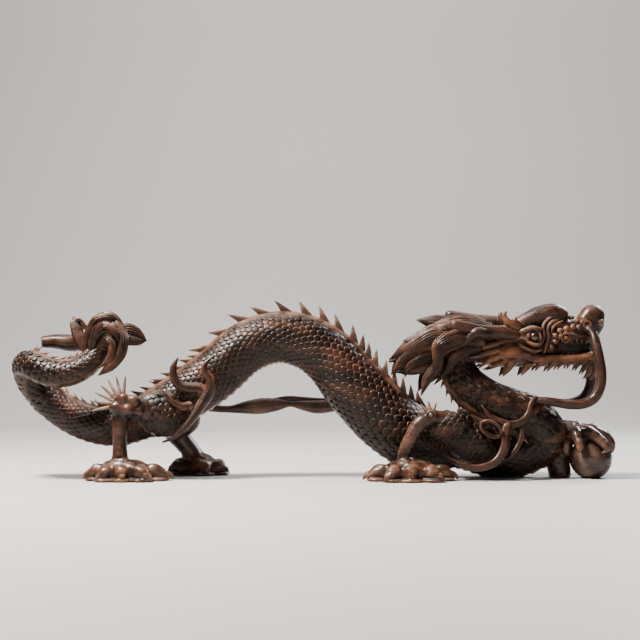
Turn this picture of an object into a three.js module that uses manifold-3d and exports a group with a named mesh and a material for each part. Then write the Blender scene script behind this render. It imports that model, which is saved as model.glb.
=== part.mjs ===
// A long dragon with its pearl, carved from one block of dark rosewood.
// The body runs as one round spine: the coiled tail, the hind quarters, a high arch, the chest that
// folds back over itself, and the neck under the head. Everything else grows out of that spine.
// Millimetres, +Z up, +X towards the head, -Y towards the side with the free fore paw.
// The stations below share one working frame; the finished piece is moved so that its origin is the
// middle of its bounding box, in the plane of the table.
import * as THREE from "three";
import { mergeVertices } from "three/addons/utils/BufferGeometryUtils.js";
import Module from "manifold-3d";

const wasm = await Module();
wasm.setup();

// ---- Driving dimensions ----

const LENGTH = 800; // tail coil to the pearl
const SOLE = 0; // the plane that the feet, the chest and the pearl are cut flat by
const INNER_BEND = 0.85; // how much of a bend's radius the inside of a limb may fill
const TIP = 0.8; // radius left at the end of a tapered point
const FRAMES_PER_STATION = 24; // how finely the direction of the back is carried along a limb
const FACET_TOLERANCE = 0.5; // how far a face may move when the small facets of the joins are merged

const SPINE = {
  sides: 10,
  tailSteps: 28,
  bodySteps: 36,
  neckSteps: 13,
};
const PEARL = { radius: 28, centre: [369, -6, 26] };
const CREST = { thickness: 3.2, lean: 1.1, sink: 0.12 };

// The spine, tail tip first: [x, y, z, radius, roll of the back towards -Y in degrees].
const SPINE_STATIONS = [
  [-370, 44, 181, 6, -50],
  [-352, 48, 182, 10, -50],
  [-328, 46, 180, 12.5, -50],
  [-304, 34, 184, 12.5, -50],
  [-285, 14, 187, 12, -50],
  [-281, -8, 174, 12.5, -50],
  [-292, -26, 153, 15, -50],
  [-315, -36, 140, 17, -50],
  [-343, -38, 139, 18, -55],
  [-369, -28, 150, 18.5, -60],
  [-380, -6, 147, 19, -50],
  [-374, 14, 124, 20, -30],
  [-350, 18, 98, 22, -10],
  [-310, 14, 75, 24, 0],
  [-266, 6, 67, 26, 0],
  [-223, 2, 80, 29, 0],
  [-179, 2, 102, 33, 0],
  [-130, 2, 136, 34.5, 0],
  [-86, 2, 173, 34, 0],
  [-43, 2, 186, 34, 0],
  [-3, 2, 177, 36, 8],
  [27, 2, 156, 38.5, 18],
  [57, 2, 122, 42, 28],
  [101, 4, 75, 43, 20],
  [143, 12, 46, 39, 0],
  [194, 14, 40, 29, 0],
  [250, 14, 30, 33, 0],
  [292, 8, 38, 31, 0],
  [308, 0, 56, 30, 30],
  [293, -6, 77, 30.5, 50],
  [261, -10, 88, 31, 70],
  [227, -10, 104, 29, 75],
  [203, -6, 126, 26, 60],
  [195, -4, 151, 23, 45],
  [205, -4, 174, 21, 40],
];
const HIND_STATION = 14; // where the tail meets the hips
const CHEST_STATION = 28; // the foremost point of the chest, where the spine turns back

// ---- Solids from geometry ----

// Closed solid of a three.js geometry, with only its positions kept.
function solidOf(geometry) {
  geometry.deleteAttribute("normal");
  geometry.deleteAttribute("uv");
  const merged = mergeVertices(geometry, 1e-4);
  const solid = new wasm.Manifold(
    new wasm.Mesh({
      numProp: 3,
      vertProperties: merged.attributes.position.array,
      triVerts: new Uint32Array(merged.index.array),
    }),
  );
  return solid;
}

const joined = (solids) => wasm.Manifold.union(solids.flat(Infinity));

// A centre line through stations [x, y, z, radius, roll in degrees]. The back faces up at station
// `upright` and is carried along from there without twisting, and each station's roll is added.
class Centreline {
  constructor(stations, upright = 0) {
    const points = stations.map(([x, y, z]) => new THREE.Vector3(x, y, z));
    this.path = new THREE.CatmullRomCurve3(points, false, "centripetal");
    this.girth = new THREE.SplineCurve(
      stations.map(([, , , radius, roll = 0]) => new THREE.Vector2(radius, roll)),
    );
    this.last = stations.length - 1;
    this.fine = FRAMES_PER_STATION * this.last;
    this.backs = [];
    for (const stride of [-1, 1]) {
      const carried = new THREE.Vector3(0, 0, 1);
      for (let i = FRAMES_PER_STATION * upright; i >= 0 && i <= this.fine; i += stride) {
        const tangent = this.path.getTangent(i / this.fine);
        carried.addScaledVector(tangent, -carried.dot(tangent)).normalize();
        this.backs[i] = carried.clone();
      }
    }
  }

  // The section at station `at`: its place, directions and radius.
  section(at) {
    const t = at / this.last;
    const tangent = this.path.getTangent(t);
    const [radius, roll] = this.girth.getPoint(t).toArray();
    const back = this.backs[Math.round(t * this.fine)].clone();
    back.addScaledVector(tangent, -back.dot(tangent)).normalize();
    back.applyAxisAngle(tangent, THREE.MathUtils.degToRad(roll));
    const across = new THREE.Vector3().crossVectors(tangent, back);
    return { centre: this.path.getPoint(t), tangent, back, across, radius };
  }

  // Evenly numbered sections from station `from` to station `to`, with the bend at each.
  sections(steps, from = 0, to = this.last) {
    const made = [];
    for (let i = 0; i <= steps; i++) made.push(this.section(from + ((to - from) * i) / steps));
    for (const [i, section] of made.entries()) {
      const before = made[Math.max(i - 1, 0)];
      const after = made[Math.min(i + 1, steps)];
      const turn = after.tangent.clone().sub(before.tangent);
      const travel = after.centre.distanceTo(before.centre);
      section.bendRadius = travel / Math.max(turn.length(), 1e-6);
      section.inward = turn.normalize();
    }
    return made;
  }
}

// A round limb along a centre line: a cylinder whose rings are moved onto the line's sections.
// `wide` stretches the sections sideways, and `tall` stretches them towards the back.
function limb(line, { sides = 6, steps = 8, wide = 1, tall = 1, from, to, swell = 1 } = {}) {
  const centreline = line instanceof Centreline ? line : new Centreline(line);
  const sections = centreline.sections(steps, from, to);
  const geometry = new THREE.CylinderGeometry(1, 1, 1, sides, steps);
  const position = geometry.attributes.position;
  const point = new THREE.Vector3();
  for (let i = 0; i < position.count; i++) {
    point.fromBufferAttribute(position, i);
    const section = sections[Math.round((point.y + 0.5) * steps)];
    const reach = section.radius * swell;
    const offset = new THREE.Vector3()
      .addScaledVector(section.across, point.x * reach * wide)
      .addScaledVector(section.back, point.z * reach * tall);
    const inside = offset.dot(section.inward) - INNER_BEND * section.bendRadius;
    if (inside > 0) offset.addScaledVector(section.inward, -inside);
    offset.add(section.centre);
    position.setXYZ(i, offset.x, offset.y, offset.z);
  }
  return solidOf(geometry);
}

// An ellipsoid with its axes along X, Y and Z, then tipped about Y by `tip` degrees.
function boss([x, y, z], [rx, ry, rz], { tip = 0, sides = 8, rings = 6 } = {}) {
  const geometry = new THREE.SphereGeometry(1, sides, rings);
  geometry.rotateX(Math.PI / 2).scale(rx, ry, rz);
  geometry.rotateY(THREE.MathUtils.degToRad(tip)).translate(x, y, z);
  return solidOf(geometry);
}

// A pointed spike from a base to a tip, thinned to `flat` of its width across Y.
function spike(base, tip, radius, { flat = 1, sides = 4 } = {}) {
  const from = new THREE.Vector3(...base);
  const along = new THREE.Vector3(...tip).sub(from);
  const geometry = new THREE.ConeGeometry(radius, along.length(), sides);
  geometry.translate(0, along.length() / 2, 0).scale(1, 1, flat);
  const length = along.clone().normalize();
  const thin = new THREE.Vector3(0, 1, 0).addScaledVector(length, -length.y).normalize();
  const wide = new THREE.Vector3().crossVectors(length, thin);
  geometry.applyMatrix4(new THREE.Matrix4().makeBasis(wide, length, thin)).translate(...base);
  return solidOf(geometry);
}

// The same stations on the other side of the animal, lifted by `lift`.
const mirrored = (stations, lift = 0) =>
  stations.map(([x, y, z, ...rest]) => [x, -y, z + lift, ...rest]);

// ---- Body ----

const spine = new Centreline(SPINE_STATIONS, HIND_STATION);

function body() {
  const { sides, tailSteps, bodySteps, neckSteps } = SPINE;
  return [
    limb(spine, { sides, steps: tailSteps, to: HIND_STATION + 0.4 }),
    limb(spine, { sides, steps: bodySteps, from: HIND_STATION, to: CHEST_STATION + 0.3, swell: 1.01 }),
    limb(spine, { sides, steps: neckSteps, from: CHEST_STATION }),
  ];
}

// Flat blades along the back, leaning towards the tail.
function crest() {
  const runs = [
    { from: 5, to: 13, count: 14, height: 8, base: 6 },
    { from: 14, to: 16.2, count: 5, height: 13, base: 8 },
    { from: 16.7, to: 21.6, count: 10, height: 19, base: 10 },
    { from: 22, to: 25, count: 8, height: 23, base: 9 },
    { from: 30.4, to: 32.4, count: 4, height: 8, base: 7 },
  ];
  return runs.map(({ from, to, count, height, base }) =>
    spine.sections(count - 1, from, to).map(({ centre, tangent, back, radius }) => {
      const root = centre.clone().addScaledVector(back, radius * (1 - CREST.sink));
      const tip = root.clone().addScaledVector(back, height).addScaledVector(tangent, -height * CREST.lean);
      return spike(root.toArray(), tip.toArray(), base, { flat: CREST.thickness / base });
    }),
  );
}

// ---- Head ----

const HORN = [
  [262, -20, 190, 8],
  [246, -25, 193, 8],
  [229, -29, 196, 7.5],
  [208, -33, 204, 6.5],
  [184, -35, 208, 4],
];
const HORN_TINE = [
  [234, -29, 193, 6.5],
  [217, -33, 184, 5],
  [193, -38, 176, TIP],
];
const JAW = [
  [240, 0, 162, 16],
  [290, 0, 158, 14],
  [340, 0, 157, 11],
  [375, 0, 160, 10],
  [385, 0, 168, 5],
];
const WHISKER = [
  [360, -12, 198, 6],
  [370, -20, 182, 6],
  [374, -30, 158, 6.5],
  [376, -34, 133, 7],
  [371, -36, 112, 7],
  [360, -36, 99, 6.5],
  [342, -35, 97, 6.5],
  [318, -33, 101, 6],
  [290, -26, 104, 5],
];

function skull() {
  return [
    boss([262, 0, 185], [50, 29, 24]),
    boss([314, 0, 213], [32, 18, 20], { tip: -6 }),
    boss([286, 0, 202], [28, 23, 16], { tip: -18 }),
    boss([331, 0, 184], [40, 17, 17]),
    boss([371, 0, 212], [17, 15, 19]),
    boss([356, 0, 197], [13, 18, 9]),
    limb(JAW, { wide: 1.35, steps: 6, sides: 8 }),
    [-1, 1].map((side) => [
      boss([258, side * 20, 166], [24, 11, 18]),
      boss([294, side * 20, 189], [11, 7, 8], { sides: 6, rings: 4 }),
      spike([262, side * 17, 200], [252, side * 22, 220], 5),
    ]),
  ];
}

// Spikes that hang from the edge of the jaw, sweeping back, and the beard at the chin.
function jawSpikes() {
  const made = [];
  const count = 7;
  for (const side of [-1, 1]) {
    for (let i = 0; i < count; i++) {
      const share = i / (count - 1);
      const base = [242 + 118 * share, side * (17 - 6 * share), 155 - 3 * share];
      const drop = 24 - 8 * share;
      const sweep = 26 - 20 * share;
      const tip = [base[0] - sweep, base[1] + side * 4, base[2] - drop];
      made.push(spike(base, tip, 6.5 - 2 * share, { sides: 3 }));
    }
    made.push(
      spike([240, side * 22, 168], [206, side * 31, 160], 7, { sides: 3 }),
      spike([240, side * 22, 176], [208, side * 30, 176], 7, { sides: 3 }),
    );
  }
  for (let i = 0; i < 3; i++) {
    made.push(spike([374 - 7 * i, 0, 156], [378 - 12 * i, 0, 128 + 3 * i], 5));
  }
  return made;
}

function head() {
  const farLift = 12;
  return [
    skull(),
    jawSpikes(),
    limb(HORN, { steps: 5, sides: 5 }),
    limb(HORN_TINE, { steps: 2, sides: 5 }),
    limb(mirrored(HORN, farLift), { steps: 5, sides: 5 }),
    limb(mirrored(HORN_TINE, farLift), { steps: 2, sides: 5 }),
    limb(WHISKER, { steps: 12, sides: 5 }),
    limb([...mirrored(WHISKER).slice(0, -1), [284, 12, 98, 5]], { steps: 12, sides: 5 }),
    limb(
      [
        [362, 8, 150, 5],
        [352, 16, 138, 5.5],
        [334, 20, 122, 5.5],
        [312, 18, 108, 5],
      ],
      { steps: 4, sides: 5 },
    ),
  ];
}

// ---- Mane and tail tuft: flat tapered locks ----

function lock(stations, steps = 6) {
  return limb(stations, { steps, sides: 6, wide: 0.6 });
}

function mane() {
  const sweep = [
    [222, -12, 190, 15],
    [196, -20, 189, 17],
    [158, -22, 186, 16],
    [128, -20, 172, 13],
    [102, -16, 157, TIP],
  ];
  const fall = [
    [226, -24, 184, 12],
    [190, -31, 184, 13],
    [166, -34, 172, 12],
    [164, -34, 150, 9],
    [149, -30, 128, 7],
    [143, -28, 110, TIP],
  ];
  const under = [
    [196, -10, 180, 16],
    [164, -14, 168, 16],
    [136, -16, 153, 11],
    [108, -16, 143, TIP],
  ];
  return [
    lock([[220, 0, 196, 12], [196, 0, 201, 14], [164, 0, 206, 11], [138, 0, 210, TIP]], 5),
    [sweep, mirrored(sweep, -4)].map((stations) => lock(stations, 5)),
    [fall, mirrored(fall, 4)].map((stations) => lock(stations, 6)),
    [under, mirrored(under, -3)].map((stations) => lock(stations, 5)),
  ];
}

function tailTuft() {
  return [
    lock([[-296, -8, 158, 9], [-302, -4, 182, 11], [-314, 0, 202, 12], [-320, 0, 212, 7]]),
    lock([[-290, -2, 178, 12], [-284, -2, 200, 13], [-268, -6, 208, 12], [-247, -10, 198, TIP]]),
    lock(
      [
        [-284, -10, 176, 11],
        [-266, -20, 196, 11],
        [-250, -26, 188, 10],
        [-250, -32, 168, 10],
        [-263, -34, 150, 8],
        [-280, -32, 136, TIP],
      ],
      7,
    ),
    lock([[-274, 4, 184, 11], [-247, 6, 190, 12], [-232, 6, 187, 9], [-222, 4, 182, TIP]]),
    lock([[-290, 16, 178, 10], [-276, 22, 160, 9], [-270, 22, 142, TIP]], 4),
  ];
}

// ---- Limbs ----

// A paw on the table: an ankle mound and toes that fan out, each with two knuckles and a claw.
// Each toe is [heading in degrees, reach]; heading 0 points along +X and 90 along +Y.
function paw([x, y, z], toes) {
  const outline = [
    { share: 0.1, height: 15, radius: 10 },
    { share: 0.38, height: 17, radius: 10.5 },
    { share: 0.6, height: 5, radius: 8.5 },
    { share: 0.8, height: 12, radius: 9 },
    { share: 0.94, height: 6, radius: 6.5 },
    { share: 1.08, height: 3, radius: 1.5 },
  ];
  const toe = ([heading, reach]) => {
    const turn = THREE.MathUtils.degToRad(heading);
    const stations = outline.map(({ share, height, radius }) => [
      x + Math.cos(turn) * reach * share,
      y + Math.sin(turn) * reach * share,
      height,
      radius,
    ]);
    return limb(stations, { steps: 6, sides: 5 });
  };
  return [boss([x, y, z], [19, 17, 17], { sides: 6, rings: 5 }), toes.map(toe)];
}

function hindLegs() {
  const thighs = [
    boss([-197, -26, 86], [42, 22, 32], { tip: 20 }),
    boss([-192, 28, 84], [44, 22, 32], { tip: 20 }),
  ];
  const nearKnee = [-247, -46, 96];
  const farKnee = [-214, 44, 84];
  return [
    thighs,
    boss(nearKnee, [16, 13, 17], { sides: 7, rings: 5 }),
    limb([[-222, -34, 90, 20], [-242, -44, 96, 15]], { steps: 3 }),
    limb(
      [
        [...nearKnee.slice(0, 2), 92, 11.5],
        [-250, -50, 66, 10],
        [-251, -52, 40, 9],
        [-250, -52, 18, 12],
      ],
      { steps: 5, sides: 7 },
    ),
    limb([[-240, -42, 84, 6], [-239, -42, 60, 5], [-240, -44, 36, 5]], { steps: 3, sides: 5 }),
    paw([-246, -52, 12], [[176, 44], [-100, 26], [-35, 40], [10, 52]]),
    boss(farKnee, [16, 13, 16], { sides: 7, rings: 5 }),
    limb(
      [
        [-205, 46, 84, 12],
        [-186, 50, 62, 10],
        [-170, 50, 40, 9],
        [-158, 50, 20, 12],
      ],
      { steps: 5, sides: 7 },
    ),
    paw([-156, 50, 12], [[172, 36], [104, 24], [44, 30], [-9, 33]]),
  ];
}

function foreLegs() {
  const elbow = [154, -50, 84];
  return [
    boss([205, -30, 54], [44, 28, 33], { tip: 30 }),
    limb([[186, -44, 72, 18], [160, -50, 82, 10]], { steps: 3 }),
    boss(elbow, [9, 9, 9], { sides: 8, rings: 5 }),
    limb(
      [
        [152, -52, 84, 8],
        [137, -56, 74, 8],
        [124, -58, 54, 7.5],
        [119, -58, 36, 7.5],
        [122, -58, 18, 11],
      ],
      { steps: 6, sides: 6 },
    ),
    paw([126, -58, 12], [[178, 50], [-95, 26], [-40, 36], [8, 50]]),
    limb(
      [
        [262, 40, 50, 24],
        [300, 44, 56, 18],
        [330, 30, 64, 14],
        [350, 12, 66, 12],
      ],
      { steps: 4, sides: 7 },
    ),
  ];
}

// The pearl under the far fore paw, with the fingers laid over its top.
function pearl() {
  const [x, y, z] = PEARL.centre;
  const grip = PEARL.radius + 4;
  const knuckles = [[4, 8.5], [25, 6.5], [46, 8], [62, 5.5], [80, TIP]];
  const finger = (heading) => {
    const turn = THREE.MathUtils.degToRad(heading);
    return limb(
      knuckles.map(([lean, radius]) => {
        const angle = THREE.MathUtils.degToRad(lean);
        const out = grip * Math.sin(angle);
        return [x + Math.cos(turn) * out, y + Math.sin(turn) * out, z + grip * Math.cos(angle), radius];
      }),
      { steps: 5, sides: 5 },
    );
  };
  return [
    boss(PEARL.centre, [PEARL.radius, PEARL.radius, PEARL.radius], { sides: 12, rings: 8 }),
    boss([x - 22, y + 8, z + 32], [16, 14, 11], { sides: 8, rings: 5 }),
    [-75, -20, 30, 85].map(finger),
  ];
}

// ---- Flames, spurs and the ribbon ----

function flames() {
  return [
    limb(
      [
        [-158, -32, 104, 12],
        [-168, -37, 119, 9],
        [-179, -38, 132, 6.5],
        [-181, -38, 147, 4.5],
        [-175, -36, 161, TIP],
      ],
      { steps: 6 },
    ),
    limb(
      [
        [-156, -32, 96, 12],
        [-143, -36, 118, 9],
        [-138, -37, 133, 6],
        [-141, -37, 145, 4.5],
        [-134, -36, 154, 3],
        [-126, -35, 162, TIP],
      ],
      { steps: 8 },
    ),
    limb(
      [
        [-150, -34, 104, 6],
        [-153, -42, 82, 6],
        [-166, -46, 62, 5.5],
        [-197, -44, 50, 4],
      ],
      { steps: 6 },
    ),
    limb(
      [
        [294, -30, 104, 5],
        [299, -34, 92, 5],
        [286, -40, 80, 5],
        [268, -42, 75, 5.5],
        [250, -42, 78, 6],
        [228, -42, 88, 4],
      ],
      { steps: 10 },
    ),
    limb(
      [
        [262, -42, 74, 9],
        [256, -48, 50, 8],
        [244, -54, 30, 7],
        [226, -58, 21, 6.5],
        [206, -58, 19, 6],
        [186, -58, 26, 5.5],
        [168, -56, 34, TIP],
      ],
      { steps: 12 },
    ),
    limb(
      [
        [218, -50, 78, 4.5],
        [232, -54, 76, 4.5],
        [243, -56, 64, 4.5],
        [236, -56, 56, 4.5],
        [222, -54, 60, 4.5],
      ],
      { steps: 7 },
    ),
  ];
}

// Thin spurs that fan out behind a joint, from `start` to `end` degrees above -X.
function spurs([x, y, z], { count, start, end, inner, outer }) {
  const made = [];
  for (let i = 0; i < count; i++) {
    const angle = THREE.MathUtils.degToRad(start + ((end - start) * i) / (count - 1));
    const at = (distance) => [x - Math.cos(angle) * distance, y, z + Math.sin(angle) * distance];
    made.push(spike(at(inner), at(outer), 3.6, { sides: 3 }));
  }
  return made;
}

function ribbon() {
  return [
    limb(
      [
        [-142, 22, 96, 8],
        [-108, 30, 90, 7],
        [-78, 32, 92, 8],
        [-44, 32, 97, 9],
        [-16, 32, 99, 8.5],
        [10, 30, 97, 7.5],
        [44, 20, 98, 6],
      ],
      { steps: 9, sides: 7 },
    ),
    limb(
      [
        [-64, 34, 90, 4],
        [-20, 34, 91, 7],
        [14, 30, 89, 6.5],
        [44, 22, 92, 6],
      ],
      { steps: 5, sides: 6 },
    ),
  ];
}

// ---- The carving ----

function dragon() {
  const whole = joined([
    body(),
    crest(),
    head(),
    mane(),
    tailTuft(),
    hindLegs(),
    foreLegs(),
    pearl(),
    flames(),
    ribbon(),
    spurs([-247, -46, 98], { count: 6, start: 4, end: 112, inner: 8, outer: 38 }),
    spurs([154, -50, 84], { count: 4, start: 20, end: 110, inner: 4, outer: 22 }),
  ]);
  const depth = 60;
  const below = new THREE.BoxGeometry(2 * LENGTH, LENGTH, depth).translate(0, 0, SOLE - depth / 2);
  const [carved] = whole.subtract(solidOf(below)).decompose().sort((a, b) => b.volume() - a.volume());
  return carved.asOriginal().simplify(FACET_TOLERANCE);
}

function meshOf(name, solid, material) {
  const { numProp, vertProperties, triVerts } = solid.getMesh();
  const positions = new THREE.InterleavedBuffer(vertProperties, numProp);
  const geometry = new THREE.BufferGeometry();
  geometry.setAttribute("position", new THREE.InterleavedBufferAttribute(positions, 3, 0));
  geometry.setIndex(new THREE.BufferAttribute(triVerts, 1));
  const mesh = new THREE.Mesh(geometry, material);
  mesh.name = name;
  return mesh;
}

const rosewood = new THREE.MeshStandardMaterial({ color: 0x3a1d14, roughness: 0.35, metalness: 0 });
const whole = meshOf("dragon", dragon(), rosewood);
whole.geometry.computeBoundingBox();
const middle = whole.geometry.boundingBox.getCenter(new THREE.Vector3());
whole.position.set(-middle.x, -middle.y, -SOLE);

const carving = new THREE.Group();
carving.add(whole);

export default carving;
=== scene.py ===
"""A long carved rosewood dragon with its paw on a pearl, standing in a plain studio.

The body is one round spine: a coiled tail, the hips, a high arch, a chest that folds back over
itself, and the neck under the head. Lengths are in millimetres of the carver's working frame and
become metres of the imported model's frame when a piece is finished.
"""

import logging
import math
from dataclasses import dataclass, field
from enum import Enum
from typing import Callable, Sequence

import bpy
import numpy as np
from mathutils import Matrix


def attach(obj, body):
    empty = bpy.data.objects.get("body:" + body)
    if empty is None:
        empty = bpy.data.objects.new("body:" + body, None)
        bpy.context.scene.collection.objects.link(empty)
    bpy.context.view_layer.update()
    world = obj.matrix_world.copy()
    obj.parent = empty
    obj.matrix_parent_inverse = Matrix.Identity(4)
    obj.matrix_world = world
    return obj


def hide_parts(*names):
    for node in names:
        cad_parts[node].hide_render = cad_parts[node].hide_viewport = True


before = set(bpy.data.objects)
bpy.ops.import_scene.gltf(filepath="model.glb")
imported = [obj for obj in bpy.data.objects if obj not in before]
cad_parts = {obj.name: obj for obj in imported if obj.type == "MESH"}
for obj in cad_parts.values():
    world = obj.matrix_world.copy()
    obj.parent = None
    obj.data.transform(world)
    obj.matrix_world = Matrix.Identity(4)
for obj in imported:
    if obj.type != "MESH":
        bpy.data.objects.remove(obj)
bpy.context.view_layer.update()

import openvdb
from mathutils import Vector

LOG = logging.getLogger("dragon")

MM = 0.001
SHIFT = np.array([-0.667, 5.141, 0.0])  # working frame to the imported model's frame
NODE = "dragon"
BODY = "root"
TABLE = 0.3  # height of the lowest wood
SOLE = 0.4  # height of the flat under the paws
TIP = 0.8  # radius left at the end of a tapered point
INNER_BEND = 0.85  # how far the skin may reach towards the middle of a bend

Station = Sequence[float]
Faces = list[tuple[int, ...]]
Colour = tuple[float, float, float]


class Side(Enum):
    """A side of the animal, by the sign of Y there."""

    NEAR = -1
    FAR = 1


class Cut(Enum):
    """Whether a form is added to a mass or carved out of it."""

    ADD = 1
    CARVE = -1


# ---- The two sides ----


def on_far_side(stations: Sequence[Station], lift: float = 0.0) -> tuple[tuple[float, ...], ...]:
    """Return the stations on the other side of the animal, lifted."""
    return tuple((x, -y, z + lift, *rest) for x, y, z, *rest in stations)


def both_sides(stations: Sequence[Station]) -> tuple[tuple[tuple[float, ...], ...], ...]:
    """Return stations given for the far side on the near side and on the far side."""
    return on_far_side(stations), tuple(tuple(station) for station in stations)


# ---- Surfaces ----


def by_size(faces: Faces) -> dict[int, np.ndarray]:
    """Group faces by their number of corners, each group as an array of point numbers."""
    groups: dict[int, Faces] = {}
    for face in faces:
        groups.setdefault(len(face), []).append(face)
    return {size: np.array(group) for size, group in groups.items()}


def tube_faces(rings: int, around: int, start: int = 0) -> Faces:
    """Return the faces that join rings of points, one ring to the next.

    Args:
        rings: how many rings.
        around: points in a ring.
        start: number of the first ring's first point.

    Returns:
        The faces, ring by ring.
    """
    return [
        (a + k, a + (k + 1) % around, a + around + (k + 1) % around, a + around + k)
        for a in range(start, start + (rings - 1) * around, around)
        for k in range(around)
    ]


def turned(faces: Faces) -> Faces:
    """Return faces turned to face the other way, each from the same first point."""
    return [face[:1] + face[:0:-1] for face in faces]


@dataclass
class Surface:
    """A mesh in progress: points in millimetres, faces, and named looks with a value per point."""

    points: np.ndarray
    faces: Faces
    looks: dict[str, np.ndarray] = field(default_factory=dict)

    def volume(self) -> float:
        """Return the enclosed volume, negative if the faces point inwards."""
        total = 0.0
        for size, index in by_size(self.faces).items():
            first = self.points[index[:, 0]]
            for k in range(1, size - 1):
                second, third = self.points[index[:, k]], self.points[index[:, k + 1]]
                total += float(np.einsum("ij,ij->i", first, np.cross(second, third)).sum()) / 6
        return total

    def facing_out(self) -> "Surface":
        """Return this surface with its faces turned so that they point outwards."""
        if self.volume() < 0:
            self.faces = [face[::-1] for face in self.faces]
        return self


def merged(surfaces: Sequence[Surface]) -> Surface:
    """Put several surfaces in one, keeping every look that any of them has.

    Args:
        surfaces: the surfaces to join, unwelded.

    Returns:
        One surface; a look that a part lacks is 0.5 there.
    """
    names = {name for surface in surfaces for name in surface.looks}
    points, faces, start = [], [], 0
    looks: dict[str, list[np.ndarray]] = {name: [] for name in names}
    for surface in surfaces:
        points.append(surface.points)
        faces.extend(tuple(i + start for i in face) for face in surface.faces)
        for name in names:
            looks[name].append(surface.looks.get(name, np.full(len(surface.points), 0.5)))
        start += len(surface.points)
    return Surface(np.concatenate(points), faces, {n: np.concatenate(v) for n, v in looks.items()})


# ---- Centre lines ----


@dataclass
class Sections:
    """Cross-sections along a centre line, one row per section."""

    at: np.ndarray
    centre: np.ndarray
    tangent: np.ndarray
    back: np.ndarray
    across: np.ndarray
    radius: np.ndarray
    inward: np.ndarray
    bend: np.ndarray
    travel: np.ndarray

    def ring_points(self, angle: np.ndarray, reach: np.ndarray, row: np.ndarray) -> np.ndarray:
        """Return points around the sections.

        Args:
            angle: angle from the back towards +across, in radians.
            reach: distance from the centre line.
            row: the section that each point belongs to.

        Returns:
            The points, held short of the inside of a tight bend.
        """
        out = np.cos(angle)[:, None] * self.back[row] + np.sin(angle)[:, None] * self.across[row]
        offset = out * reach[:, None]
        over = np.einsum("ij,ij->i", offset, self.inward[row]) - INNER_BEND * self.bend[row]
        offset -= np.maximum(over, 0)[:, None] * self.inward[row]
        return self.centre[row] + offset


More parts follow.
